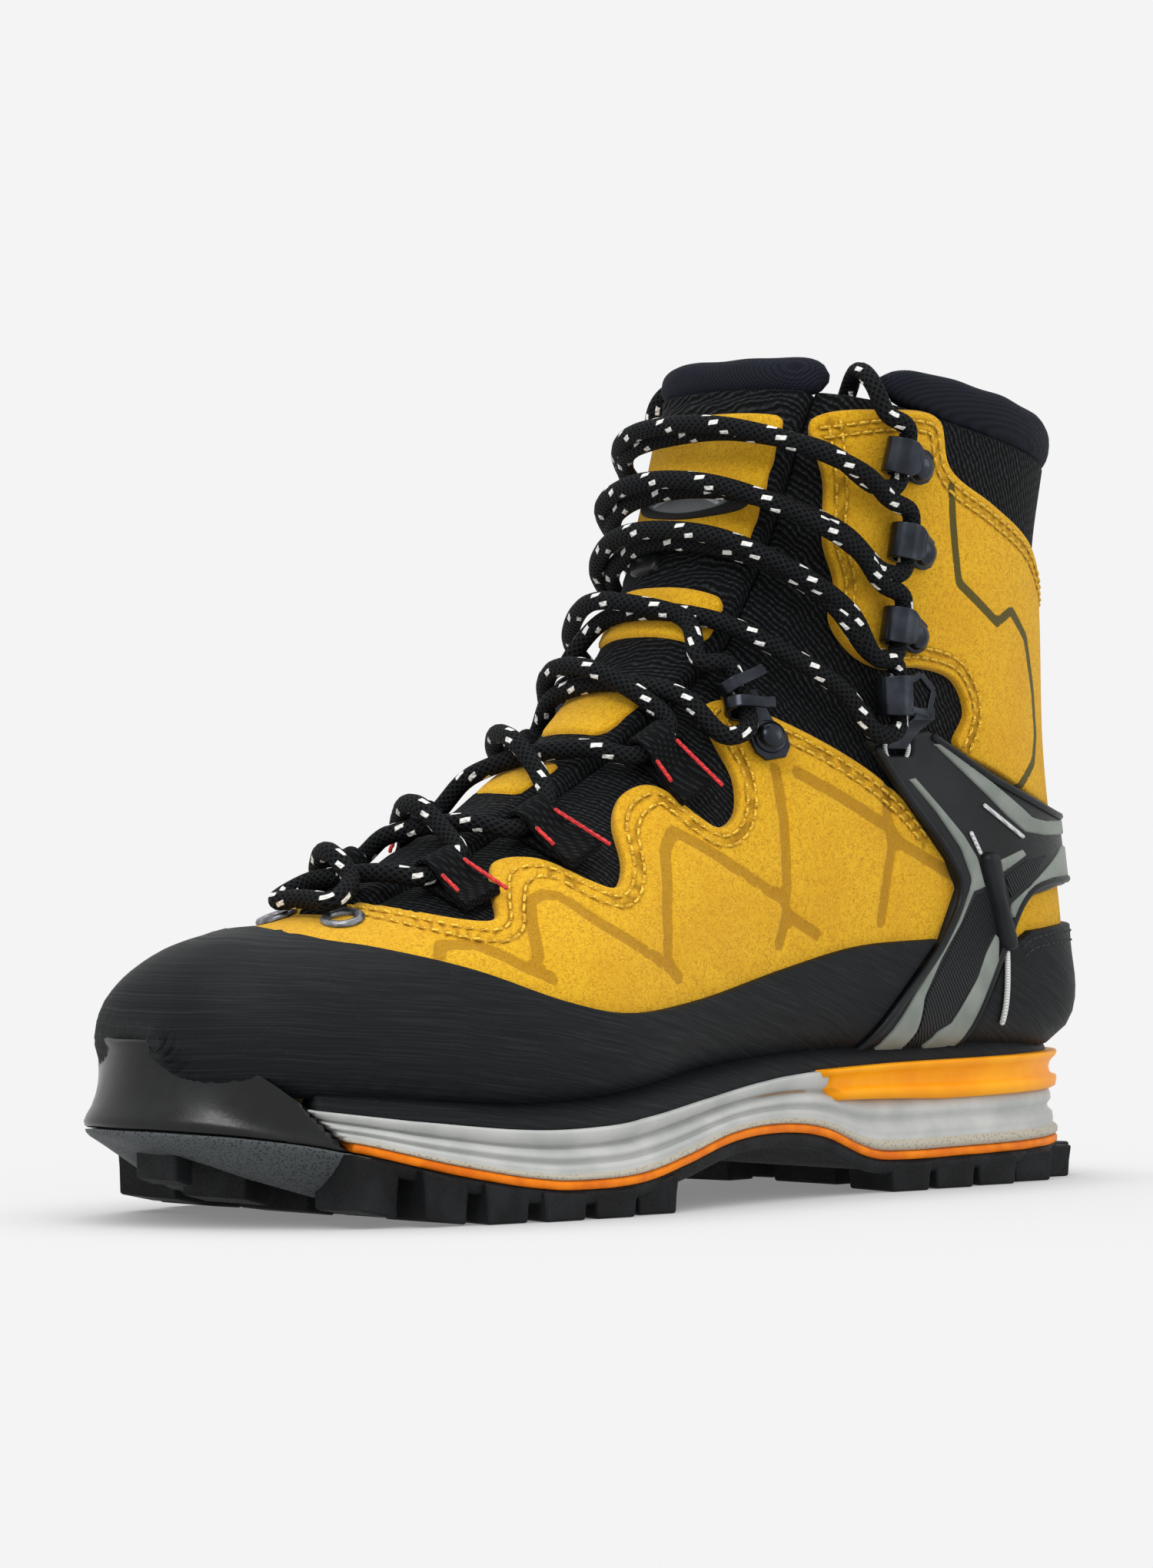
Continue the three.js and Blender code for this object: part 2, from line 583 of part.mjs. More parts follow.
/** Locking hook: a taller channel with two prongs above a rivet foot. */
function lockingHookGeometry(mirror) {
  const foot = new THREE.CylinderGeometry(4.6, 4.6, HOOK_PLATE, 14);
  foot.rotateX(Math.PI / 2);
  foot.translate(mirror * 5.5, -10.5, HOOK_PLATE / 2);
  const r = HOOK_ROOM / 2;
  const cz = HOOK_PLATE + r;
  const outline = [[5, 0], [5, HOOK_PLATE], ...arc(-1, cz, r, -Math.PI / 2, -1.5 * Math.PI),
    [4, cz + r], [4, cz + r + HOOK_PLATE], ...arc(-1, cz, r + HOOK_PLATE, -1.5 * Math.PI, -Math.PI / 2)];
  const channel = solid(profileBar(outline.map(([x, z]) => [mirror * x, z]), [], LOCK_WIDTH));
  const neck = new THREE.BoxGeometry(6, 9, HOOK_PLATE);
  neck.translate(mirror * 2.5, -7.5, HOOK_PLATE / 2);
  return geometryOf(channel.add(solid(foot)).add(solid(neck)));
}

/** Hook at the end of the heel strap: an arch over the lace, hung on the strap's cable. */
function strapHookGeometry(mirror) {
  const r = HOOK_ROOM / 2 + 0.5;
  const cz = HOOK_PLATE + r;
  const outline = [[6, 0], [6, HOOK_PLATE], ...arc(-1.5, cz, r, -Math.PI / 2, -1.5 * Math.PI),
    [6, cz + r], [6, cz + r + HOOK_PLATE], ...arc(-1.5, cz, r + HOOK_PLATE, -1.5 * Math.PI, -Math.PI / 2)];
  const channel = solid(profileBar(outline.map(([x, z]) => [mirror * x, z]), [], STRAP_HOOK_WIDTH));
  const tail = new THREE.BoxGeometry(7, 9, HOOK_PLATE);
  tail.translate(mirror * 1.5, -8.5, HOOK_PLATE / 2);
  const bar = new THREE.BoxGeometry(9, 2.6, 2.6);
  bar.translate(mirror * 1.5, -12.2, 1.3);
  return geometryOf(channel.add(solid(tail)).add(solid(bar)));
}

/** Ring set in the suede at the foot of the throat. */
function eyeletGeometry() {
  const ring = new THREE.LatheGeometry([[3, 0], [5.2, 0], [4.9, 0.9], [3.2, 0.9], [3, 0]]
    .map(([x, y]) => new THREE.Vector2(x, y)), 16);
  ring.rotateX(Math.PI / 2);
  return ring;
}

/** Webbing loop: a flat band with an eye for the lace; local x runs away from the lace. */
function webLoopGeometry(mirror, long) {
  const r = LACE / 2 + 0.7;
  const skin = EYE_WALL;
  const circle = (radius) => arc(0, r + skin, radius, 0, Math.PI * 2, 12).slice(0, -1);
  const eye = solid(profileBar(circle(r + skin), [circle(r)], LOOP_WIDTH));
  const band = [[r * 0.8, 0], [long, 0], [long, skin], [r * 0.8, skin]].map(([x, z]) => [mirror * x, z]);
  return geometryOf(eye.add(solid(profileBar(band, [], LOOP_WIDTH))));
}

// ---------------------------------------------------------------- assembling
const boot = new THREE.Group();
const COLOURS = {
  rubber: ['#1b1c1f', 0.75, 0],
  gloss: ['#17181b', 0.35, 0],
  orange: ['#ee8c1e', 0.6, 0],
  midsole: ['#c9cbc9', 0.6, 0],
  wedge: ['#ffae18', 0.5, 0],
  suede: ['#dda62a', 0.95, 0],
  textile: ['#1d1f22', 0.9, 0],
  navy: ['#1b1f2b', 0.9, 0],
  moulded: ['#1e2022', 0.45, 0],
  metal: ['#4a4e55', 0.3, 0.9],
  steel: ['#8f9499', 0.35, 0.9],
  board: ['#8a7a5f', 0.9, 0],
  lining: ['#2a2c30', 0.9, 0],
  badge: ['#5b6066', 0.8, 0],
};

/** Adds a named mesh; returns it so that it can be placed. */
function add(name, shape, finish) {
  const [color, roughness, metalness] = COLOURS[finish];
  const geometry = shape.isBufferGeometry ? shape : geometryOf(mainBody(shape));
  const mesh = new THREE.Mesh(geometry, new THREE.MeshStandardMaterial({ color, roughness, metalness }));
  mesh.name = name;
  boot.add(mesh);
  return mesh;
}

const place = (mesh, matrix) => {
  matrix.decompose(mesh.position, mesh.quaternion, mesh.scale);
  return mesh;
};

// sole unit
const outsole = makeOutsole();
add('outsole', outsole, 'rubber');
const orangeBlank = slab([{ inset: 0.2, z: (x) => plateTop(x) + GAP },
  { inset: -0.2, z: (x) => orangeZ(x) + ORANGE_LAYER / 2 }]);
const bumperCut = sideCut(bumperFace(0));
const rearOfBumper = sideCut(bumperFace(GAP));
add('outsole_edge_layer', orangeBlank.intersect(rearOfBumper.add(sideCut([[10, -5], [200, -5],
  [200, 80], [10, 80]]))), 'orange');
const wedgeZone = sideCut([[LEDGE - GAP, 0], [LEDGE - GAP, 80], [200, 80], [200, 0]])
  .intersect(soleCutter(-20, (x) => wedgeBottom(x) - GAP, () => 90));
const shankSlot = soleCutter(24, (x) => featherZ(x) - 3.2, (x) => featherZ(x) + 6)
  .intersect(sideCut([[-75, -5], [110, -5], [110, 90], [-75, 90]]));
const midsole = makeMidsole().intersect(rearOfBumper.add(sideCut([[10, -5], [200, -5], [200, 80],
  [10, 80]]))).subtract(wedgeZone).subtract(shankSlot);
add('midsole', midsole, 'midsole');
const WELT_LEDGE = 1;
const wedge = slab([{ inset: 1.4, z: wedgeBottom }, { inset: 0.4, z: (x) => wedgeBottom(x) + 2 },
  { inset: 2.4, z: (x) => lerp(wedgeBottom(x), featherZ(x), 0.5) },
  { inset: 1 - WELT_LEDGE, z: (x) => featherZ(x) - 2 }, { inset: 1 - WELT_LEDGE, z: featherZ }])
  .intersect(sideCut([[LEDGE, 0], [LEDGE, 80], [200, 80], [200, 0]])).subtract(shankSlot);
add('heel_welt', wedge, 'wedge');
const rand = block(OVER + RAND + GAP);
const bumper = slab([{ inset: 0, z: (x) => plateTop(x) + GAP }, { inset: 1.2, z: (x) => plateTop(x) + 3 },
  { inset: 4.2, z: (x) => lerp(plateTop(x), Math.max(bumperTop(x) + BALL, plateTop(x) + 4), 0.55) },
  { inset: 3.6, z: (x) => Math.max(bumperTop(x) + BALL, plateTop(x) + 5) }])
  .subtract(bumperCut).subtract(rand)
  .subtract(soleCutter(BOARD_INSET, (x) => featherZ(x), () => 60))
  .intersect(sideCut([[-170, 0], [-118, 0], [-118, 80], [-170, 80]]));
add('toe_bumper', bumper, 'gloss');
add('shank_plate', soleCutter(24 + GAP, (x) => featherZ(x) - 2.9, (x) => featherZ(x) - 0.9)
  .intersect(sideCut([[-74, -5], [109, -5], [109, 90], [-74, 90]])), 'steel');
add('lasting_board', soleCutter(BOARD_INSET + GAP, (x) => featherZ(x) + GAP, boardTop)
  .intersect(sideCut([[BOARD_TOE, 0], [200, 0], [200, 90], [BOARD_TOE, 90]]))
  .subtract(block(GAP)), 'board');
const bedLow = (x) => boardTop(x) + 1.6 + TEXTILE + LINING + 2 * GAP;
add('footbed', soleCutter(9, bedLow, (x) => bedLow(x) + FOOTBED).intersect(cavity), 'textile');

// upper
add('vamp_lining', lining.subtract(stiffenerSlot.intersect(sideCut(TOE_PUFF)))
  .intersect(sideCut(vampCut)), 'lining');
const rear = lining.subtract(stiffenerSlot.intersect(sideCut(HEEL_COUNTER)));
for (const [side, label] of [[-1, 'outer'], [1, 'inner']]) {
  add(`quarter_lining_${label}`, rear.intersect(sidePrism(rearCut, ...half(side))), 'lining');
}
add('toe_puff', stiffener.intersect(sideCut([[-170, 10], [-108.4, 10], [-112.4, 90],
  [-170, 90]])), 'board');
add('heel_counter', stiffener.intersect(sideCut([[104.4, 10], [112.4, 79.6], [140, 91.6],
  [170, 91.6], [170, 10]])), 'board');
add('textile_upper', shell(-TEXTILE, 0).subtract(throat), 'textile');
const wideThroat = strip(0.27, 1, (u) => -throatHalf(u) - 1, (u) => throatHalf(u) + 1, -25, 30);
add('lower_suede', suede.intersect(sideCut(LOWER_SUEDE)).subtract(wideThroat), 'suede');
for (const [side, label] of [[-1, 'outer'], [1, 'inner']]) {
  add(`cuff_suede_${label}`, suede.intersect(sidePrism(CUFF_SUEDE, ...half(side)))
    .subtract(wideThroat), 'suede');
  add(`heel_strap_${label}`, moulded.intersect(sidePrism(HEEL_STRAP, ...half(side))), 'moulded');
}
add('toe_rand', rubber.intersect(sideCut(TOE_RAND)), 'rubber');
add('heel_rand', rubber.intersect(sideCut(HEEL_RAND)), 'rubber');


// tongue, in the throat
const TONGUE_TOP = 1.6;        // its face above the last
const TONGUE_IN = -5.5;
const TONGUE_EDGE = 0.7;       // clearance to the throat on each side
const TONGUE_START = 0.27;
const TONGUE_END = 0.985;
const PATCH = 1.2;
const PATCH_LOW = TONGUE_TOP + GAP;
const PATCH_MARGIN = 4;        // tongue showing beside the patches
const tongueHalf = (u) => throatHalf(u) - TONGUE_EDGE;
const patchHalf = (u) => tongueHalf(u) - PATCH_MARGIN;

/** Layer of the last between two offsets, over a strip given like the one above. */
const layer = (u0, u1, left, right, low, high, extra = []) => shell(low, high)
  .intersect(strip(u0, u1, left, right, low - 6, high + 6, 6, extra));
const across = (half) => [(u) => -half(u), half];
add('tongue', shell(TONGUE_IN, TONGUE_TOP)
  .intersect(strip(TONGUE_START, TONGUE_END, ...across(tongueHalf), -25, 14)), 'textile');
const PATCHES = { bottom: [0.43, 0.47], lower: [0.5, 0.555], middle: [0.61, 0.675], top: [0.735, 0.935] };
for (const [label, [u0, u1]] of Object.entries(PATCHES)) {
  add(`tongue_patch_${label}`, layer(u0, u1, ...across(patchHalf), PATCH_LOW, PATCH_LOW + PATCH), 'suede');
}
const BADGE_U = 0.803;
const BADGE_SPAN = 0.034;
const BADGE_HALF = 17;
const BADGE_ROUND = [-0.92, -0.75, -0.5, 0, 0.5, 0.75, 0.92];
const BADGE_LOW = PATCH_LOW + PATCH + GAP;
const badgeHalf = (u) => Y(BADGE_HALF) * Math.sqrt(Math.max(1 - ((u - BADGE_U) / BADGE_SPAN) ** 2, 0.03));
add('tongue_badge', layer(BADGE_U - BADGE_SPAN, BADGE_U + BADGE_SPAN, ...across(badgeHalf), BADGE_LOW,
  BADGE_LOW + 1, BADGE_ROUND.map((t) => BADGE_U + t * BADGE_SPAN)), 'badge');
const KEEPER = [0.692, 0.73];
const KEEPER_EDGES = [3, 12];  // mm to the inner side of the front line
add('lace_keeper_tab', layer(KEEPER[0], KEEPER[1], () => Y(KEEPER_EDGES[0]), () => Y(KEEPER_EDGES[1]),
  PATCH_LOW, PATCH_LOW + PATCH), 'gloss');

/** Rounded pad swept along a path, wide and tall, tilted with the path. */
function padAlong(points, wide, tall, steps) {
  const path = new THREE.CatmullRomCurve3(points);
  const shape = new THREE.Shape();
  shape.absellipse(0, 0, wide / 2, tall / 2, 0, Math.PI * 2, false, 0);
  const ring = shape.getPoints(4).slice(0, -1);
  const rings = [];
  for (let i = 0; i <= steps; i += 1) {
    const t = i / steps;
    const round = Math.sqrt(Math.max(1 - (2 * t - 1) ** 6, 0.08));
    const at = path.getPointAt(t);
    const along = path.getTangentAt(t);
    const side = new THREE.Vector3(0, 0, 1).cross(along).normalize();
    const up = along.clone().cross(side);
    rings.push(ring.map((p) => at.clone().addScaledVector(side, p.x * round)
      .addScaledVector(up, p.y * round)));
  }
  return solid(ringStack(rings));
}

const RIM = 1;                 // u of the upper's rim
const PAD_TALL = 11;
const rimPoint = (mm, offset, up) => {
  const v = mm / halfRing(RIM, mm < 0 ? -1 : 1).girth;
  return offsetPoint(RIM, v, offset).add(new THREE.Vector3(0, 0, up));
};
const rimHalf = (side) => halfRing(RIM, side).girth;
const COLLAR_START = 46;       // from the front line to the collar padding
const collarPath = [];
const COLLAR_POINTS = 13;
for (let i = 0; i < COLLAR_POINTS; i += 1) {
  const t = lerp(-1, 1, i / (COLLAR_POINTS - 1));
  const side = t < 0 ? -1 : 1;
  const mm = lerp(rimHalf(side), Y(COLLAR_START), Math.abs(t)) * side;
  collarPath.push(rimPoint(Math.abs(t) < 1e-6 ? rimHalf(1) : mm, LINING_IN / 2, PAD_TALL / 2 + GAP));
}
add('collar_pad', padAlong(collarPath, PAD, PAD_TALL, 24), 'navy');
const TONGUE_PAD = 9;
const tonguePad = [-1, -0.5, 0, 0.5, 1].map((t) => {
  const mm = t * (tongueHalf(RIM) - 3);
  const v = mm / rimHalf(mm < 0 ? -1 : 1);
  return offsetPoint(0.985, v, -1.5).add(new THREE.Vector3(0, 0, TONGUE_PAD / 2 + 1.2));
});
add('tongue_top_pad', padAlong(tonguePad, PAD, TONGUE_PAD, 10)
  .subtract(strip(0.9, TONGUE_END, ...across((u) => tongueHalf(u) + 8), TONGUE_IN - 12, 12)
    .translate(0, 0, GAP)), 'navy');

// lacing: outer and inner places of each row from the toe, [x, z] on the sides, or u and mm
const ON_SUEDE = SUEDE_HIGH + GAP;
const EYE_RADIUS = LACE / 2 + 0.7;
const LOOP_BASE = 0.8;
const LOOP_LACE = LOOP_BASE + EYE_WALL + EYE_RADIUS;
const HOOK_LACE = ON_SUEDE + LACE_HEIGHT;
const HOOK_TILT = -0.2;
const ROWS = [
  { kind: 'eyelet', u: 0.253, mm: 11, lift: ON_SUEDE + 1.2 + LACE / 2, tilt: 0 },
  { kind: 'loop', u: 0.34, mm: 15.5, lift: LOOP_LACE, long: 11, tilt: 0 },
  { kind: 'loop', u: 0.412, mm: 17.5, lift: LOOP_LACE, long: 14, tilt: 0 },
  { kind: 'loop', u: 0.51, mm: 21, lift: LOOP_LACE, long: 13, tilt: 0 },
  { kind: 'locking', at: [14.5, 119.5], lift: HOOK_LACE, tilt: 0 },
  { kind: 'strap', at: [58, 122.2], lift: HOOK_LACE + 0.5, tilt: 0 },
  { kind: 'hook', at: [60, 139.6], lift: HOOK_LACE, tilt: HOOK_TILT },
  { kind: 'hook', at: [62.5, 160.5], lift: HOOK_LACE, tilt: HOOK_TILT },
  { kind: 'hook', at: [61, 182], lift: HOOK_LACE, tilt: HOOK_TILT },
];

/** Place of a row on a side as u and signed mm from the front line. */
function rowPlace(row, side) {
  if (row.u) return { u: row.u, mm: side * Y(row.mm) };
  const { u, v, girth } = locate(row.at[0], row.at[1], side);
  return { u, mm: v * girth };
}

const vAt = (u, mm) => mm / halfRing(u, mm < 0 ? -1 : 1).girth;
const onLast = (u, mm, offset) => offsetPoint(u, vAt(u, mm), offset);

/** Seat of a row's fitting on a side at an offset from the last. */
function seatRow(row, side, offset) {
  const { u, mm } = rowPlace(row, side);
  return seatAt(u, vAt(u, mm), side, offset, row.tilt, Boolean(row.u));
}

const CLEAR = 7.6;             // lace centre above the last between the rows
const CROSSING = LACE + 0.9;   // extra height where a strand passes over the other
const BADGE_LIFT = 2.2;
const BADGE_ROW = 6;           // strands from this row on pass over the badge
const TURN = 2.8;              // lace outside a fitting before it bends inward
const TURN_IN = 1.4;
const BESIDE = 8;              // lace beside a hook's fold

const ROW_WIDTHS = { eyelet: LOOP_WIDTH, loop: LOOP_WIDTH, hook: HOOK_WIDTH, strap: STRAP_HOOK_WIDTH,
  locking: LOCK_WIDTH };
const reachOf = (row) => ROW_WIDTHS[row.kind] / 2 + 0.8;

/** Points of one strand from a row on one side to the next row on the other side. */
function strandPoints(r, side, over) {
  const a = rowPlace(ROWS[r], side);
  const b = rowPlace(ROWS[r + 1], -side);
  const clear = CLEAR + (r >= BADGE_ROW ? BADGE_LIFT : 0);
  const span = onLast(a.u, a.mm, clear).distanceTo(onLast(b.u, a.mm, clear));
  const leave = (reachOf(ROWS[r]) + TURN) / span;
  const arrive = (reachOf(ROWS[r + 1]) + TURN) / span;
  const row = over ? [[0.17, 0.1], [0.29, 0.6], [0.41, 1], [0.59, 1], [0.71, 0.6], [0.83, 0.1]]
    : [[0.17, 0], [0.32, 0], [0.5, 0], [0.68, 0], [0.83, 0]];
  return row.map(([t, lift]) => onLast(lerp(a.u, b.u, lerp(leave, 1 - arrive, t)),
    lerp(a.mm, b.mm, t), clear + lift * CROSSING));
}

/** Points through the hook or loop of a row, from below to above. */
function throughPoints(r, side) {
  const m = seatRow(ROWS[r], side, ROWS[r].lift);
  const reach = reachOf(ROWS[r]);
  const inward = side < 0 ? -1 : 1;
  const ends = [[TURN_IN, reach + TURN, 0.8]];
  if (!ROWS[r].u) ends.push([BESIDE, reach + TURN + 0.8, 0.4]);
  const inside = [[0, -reach, 0], [0, reach, 0]];
  return [...ends.map(([x, y, z]) => [x, -y, z]).reverse(), ...inside, ...ends]
    .map(([x, y, z]) => new THREE.Vector3(inward * x, y, z).applyMatrix4(m));
}

/** One half of the lace, from the toe to its end tucked inside the collar. */
function laceHalf(side) {
  const points = [];
  let s = side;
  for (let r = 0; r < ROWS.length; r += 1) {
    if (r > 0) points.push(...throughPoints(r, s));
    if (r + 1 < ROWS.length) {
      points.push(...strandPoints(r, s, (r % 2 === 0) === (side < 0)));
      s = -s;
    }
  }
  points.push(rimPoint(s * Y(38), 5, 3));
  points.push(rimPoint(s * Y(37), -3, 7));
  points.push(rimPoint(s * Y(37), -11, 1));
  points.push(onLast(0.93, s * Y(37), -11.4));
  points.push(onLast(0.87, s * Y(37), -12));
  return points;
}

const bar = [-1, -0.4, 0.4, 1].map((t) => onLast(0.25, t * Y(9), ROWS[0].lift + 0.4));
const lacePoints = [...laceHalf(-1).reverse(), ...bar, ...laceHalf(1)];

/** Path that an extrusion follows exactly from point to point. */
class PointPath extends THREE.Curve {
  constructor(points) {
    super();
    this.points = points;
  }

  getPointAt(t) {
    const s = t * (this.points.length - 1);
    const i = Math.min(Math.floor(s + 1e-9), this.points.length - 2);
    return this.points[i].clone().lerp(this.points[i + 1], s - i);
  }

  getPoint(t) {
    return this.getPointAt(t);
  }

  getTangentAt(t) {
    const i = Math.round(t * (this.points.length - 1));
    const before = this.points[Math.max(i - 1, 0)];
    const after = this.points[Math.min(i + 1, this.points.length - 1)];
    const here = this.points[i];
    const into = here.clone().sub(before).normalize();
    const out = after.clone().sub(here).normalize();
    return into.add(out).normalize();
  }
}

const LACE_SIDES = 8;
const laceSection = new THREE.Shape(Array.from({ length: LACE_SIDES }, (_, i) => new THREE.Vector2(
  Math.cos((2 * i * Math.PI) / LACE_SIDES) * (LACE / 2),
  Math.sin((2 * i * Math.PI) / LACE_SIDES) * (LACE / 2))));
add('lace', new THREE.ExtrudeGeometry(laceSection, { steps: lacePoints.length - 1,
  extrudePath: new PointPath(lacePoints), bevelEnabled: false }), 'textile');

// hooks, loops and eyelets of every row on both sides
const FITTINGS = {
  eyelet: { name: 'eyelet', make: () => eyeletGeometry(), finish: 'steel' },
  loop: { name: 'web_loop', make: (mirror, row) => webLoopGeometry(mirror, row.long), finish: 'textile' },
  locking: { name: 'locking_hook', make: lockingHookGeometry, finish: 'metal' },
  strap: { name: 'strap_hook', make: strapHookGeometry, finish: 'metal' },
  hook: { name: 'hook', make: hookGeometry, finish: 'metal' },
};
const seen = {};
for (const row of ROWS) {
  const { name, make, finish } = FITTINGS[row.kind];
  const repeats = ROWS.filter((other) => other.kind === row.kind).length;
  seen[row.kind] = (seen[row.kind] ?? 0) + 1;
  const number = repeats > 1 ? `_${seen[row.kind]}` : '';
  const base = row.kind === 'loop' ? LOOP_BASE : ON_SUEDE;
  for (const [side, label] of [[-1, 'outer'], [1, 'inner']]) {
    place(add(`${name}${number}_${label}`, make(side < 0 ? 1 : -1, row), finish),
      seatRow(row, side, base));
  }
}

// pull tab: a webbing loop hung at the back of the cuff
const TAB = 1.6;
const TAB_WIDTH = 12;
const TAB_OUT = 9.4;
const TAB_CLEAR = 0.35;
const tabTop = offsetPoint(0.908, 1, ON_SUEDE + TAB_CLEAR);
const tabFoot = offsetPoint(0.872, 1, ON_SUEDE + TAB_CLEAR);
const tabOutline = (t) => [[tabTop.x + t, tabTop.z - t], [tabTop.x + TAB_OUT * 0.8 - t * 0.6, tabTop.z - t],
  [tabTop.x + TAB_OUT - t, tabTop.z - 2.5 - t * 0.5], [tabTop.x + TAB_OUT - t, tabTop.z - TAB_OUT],
  [tabFoot.x + 3.5, tabFoot.z + t], [tabFoot.x + t, tabFoot.z + t]];
add('pull_tab', solid(profileBar(tabOutline(0), [], TAB_WIDTH))
  .subtract(solid(profileBar(tabOutline(TAB), [], 2 * TAB_WIDTH))), 'textile');

// the box of the whole boot stands on the origin
boot.updateMatrixWorld(true);
const box = new THREE.Box3().setFromObject(boot);
const middle = box.getCenter(new THREE.Vector3());
for (const mesh of boot.children) mesh.position.sub(new THREE.Vector3(middle.x, middle.y, box.min.z));

export default boot;
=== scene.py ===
"""Visual model of a mountaineering boot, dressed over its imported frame.

Lengths in the tables are millimetres; the last, the lines of the sole and the outlines of the
pieces are the same as the frame's. x runs from toe to heel, y to the inner side, z up.
"""
import logging
import math
from dataclasses import dataclass, field
from enum import Enum
from typing import Callable, ClassVar, Iterable, Optional, Sequence

import bmesh
import bpy
import numpy as np
from mathutils import Matrix, Vector
from mathutils.geometry import delaunay_2d_cdt
from mathutils.kdtree import KDTree


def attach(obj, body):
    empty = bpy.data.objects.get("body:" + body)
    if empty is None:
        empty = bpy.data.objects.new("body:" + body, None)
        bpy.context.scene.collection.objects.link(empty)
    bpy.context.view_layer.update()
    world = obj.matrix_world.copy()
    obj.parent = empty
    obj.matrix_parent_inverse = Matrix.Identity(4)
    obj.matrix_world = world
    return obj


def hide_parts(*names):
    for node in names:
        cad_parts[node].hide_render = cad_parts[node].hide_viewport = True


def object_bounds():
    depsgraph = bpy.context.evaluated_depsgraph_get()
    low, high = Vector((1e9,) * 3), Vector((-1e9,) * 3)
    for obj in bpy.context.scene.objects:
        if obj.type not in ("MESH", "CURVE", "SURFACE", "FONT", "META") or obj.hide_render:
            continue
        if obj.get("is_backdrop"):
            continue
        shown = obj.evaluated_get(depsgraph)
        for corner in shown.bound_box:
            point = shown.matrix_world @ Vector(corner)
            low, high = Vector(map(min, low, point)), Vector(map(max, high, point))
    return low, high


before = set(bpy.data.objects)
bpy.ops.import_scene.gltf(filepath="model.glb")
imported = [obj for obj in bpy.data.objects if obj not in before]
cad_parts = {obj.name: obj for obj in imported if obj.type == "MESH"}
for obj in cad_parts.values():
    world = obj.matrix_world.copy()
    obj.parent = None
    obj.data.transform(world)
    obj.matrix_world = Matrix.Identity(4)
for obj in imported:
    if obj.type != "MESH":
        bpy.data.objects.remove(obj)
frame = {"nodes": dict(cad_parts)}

logging.basicConfig(level=logging.INFO, format="%(levelname)s %(message)s")
LOG = logging.getLogger("boot")

Array = np.ndarray
Points = Sequence[Sequence[float]]

SHIFT = np.array([1.254, 1.062, 0.0])
SIDES = {-1: "outer", 1: "inner"}

# ------------------------------------------------------------------ tables of the boot
STATIONS = np.array([
    [-144.5, 42.5, -144.5, 39.5, 0.5, 0.5, 0, 2.1, 2.1],
    [-140.5, 53.5, -141, 32.5, 13, 23, -0.15, 2.1, 2.3],
    [-131, 60, -132, 30, 23, 31.5, -0.3, 2.1, 2.6],
    [-119, 63, -118, 29, 31.5, 37, -0.4, 2.1, 3],
    [-102, 67.5, -98, 26.8, 39.5, 42, -0.45, 2.1, 3.2],
    [-84, 74, -72, 25, 45, 44, -0.5, 2.1, 3.4],
    [-62, 83.5, -42, 26.6, 46.5, 42, -0.48, 2.1, 3.4],
    [-38, 96, -6, 31.2, 42, 36, -0.42, 2.2, 3.2],
    [-16, 109.5, 36, 34.2, 38, 34, -0.3, 2.3, 4.2],
    [1, 124, 86, 34.8, 36.5, 34, -0.2, 2.5, 5.5],
    [12, 137.5, 132.5, 36.5, 35.5, 34, -0.12, 2.7, 5],
    [19.5, 150, 144, 52, 35, 34, -0.1, 2.9, 3],
    [25.5, 161, 146.5, 76, 34.5, 34, -0.08, 3.1, 2.2],
    [30.5, 172, 143, 104, 34.5, 34, -0.05, 3.3, 2.1],
    [34.5, 183, 141, 132, 34.5, 34, 0, 3.4, 2.2],
    [38, 192, 139.5, 157, 35.5, 35, 0.02, 3.4, 2.2],
    [41, 199, 143, 181, 37, 36.5, 0.04, 3.4, 2.2],
])
SOLE_LIFT = 0.6
THROAT = np.array([[0.25, 6], [0.48, 12.5], [0.63, 21], [1, 25]])

SOLE_OUTER = [[-154.5, 6], [-148, -12], [-132, -28], [-108, -43], [-78, -51.5], [-52, -54],
              [-20, -49], [18, -42.5], [60, -39.5], [105, -38.5], [134, -28], [146.5, -13],
              [149.5, 0]]
SOLE_INNER = [[-154.5, 6], [-150, 23], [-136, 36], [-111, 46], [-80, 51], [-54, 51], [-22, 42],
              [18, 35], [60, 35], [105, 37.5], [134, 28], [146.5, 13], [149.5, 0]]

SUEDE_EDGE = [[-97, 74], [-90, 70.5], [-80, 67.8], [-73, 68], [-69, 73], [-61, 80.5],
              [-52, 81.8], [-44, 77], [-38, 75.3], [-33, 80], [-29, 90], [-22, 97], [-13, 99.5],
              [-5, 92.5], [0, 89.8], [6, 93], [8.5, 101], [6.5, 111], [7, 118.5], [14, 121],
              [24, 117], [42, 109.4], [55, 103], [66, 96], [74, 89]]
CUFF_SUEDE = [[43, 191], [60, 194], [76, 192.5], [81, 181], [98, 172.5], [117, 164],
              [132, 153.5], [144, 148], [166, 147], [170, 96], [128, 95.5], [100, 104],
              [84, 111], [88.5, 119], [84, 127], [71, 130], [58, 129.5], [49, 133], [43, 141],
              [45, 150], [42.5, 160], [43.5, 175]]
TOE_RAND_EDGE = [[-120, 67], [-116, 62], [-106, 60], [-88, 56], [-66, 49.5], [-47, 46.7],
                 [-20, 49], [16, 56], [44, 61], [73.6, 62.4]]
HEEL_RAND = [[82.8, 31.6], [100.8, 59.4], [110, 64], [134, 65.5], [170, 67], [170, 10], [84, 10]]
HEEL_STRAP = [[50, 111.5], [53.6, 112], [53.6, 108.2], [64.4, 108.2], [64.4, 113.6],
              [71, 114.5], [98, 102.5], [128, 94], [170, 96], [170, 74], [128, 75], [108, 72],
              [99.6, 59.8], [81.6, 31.6], [80, 10], [38, 10], [39, 31], [74.6, 62], [82, 75],
              [78, 82], [60, 100]]

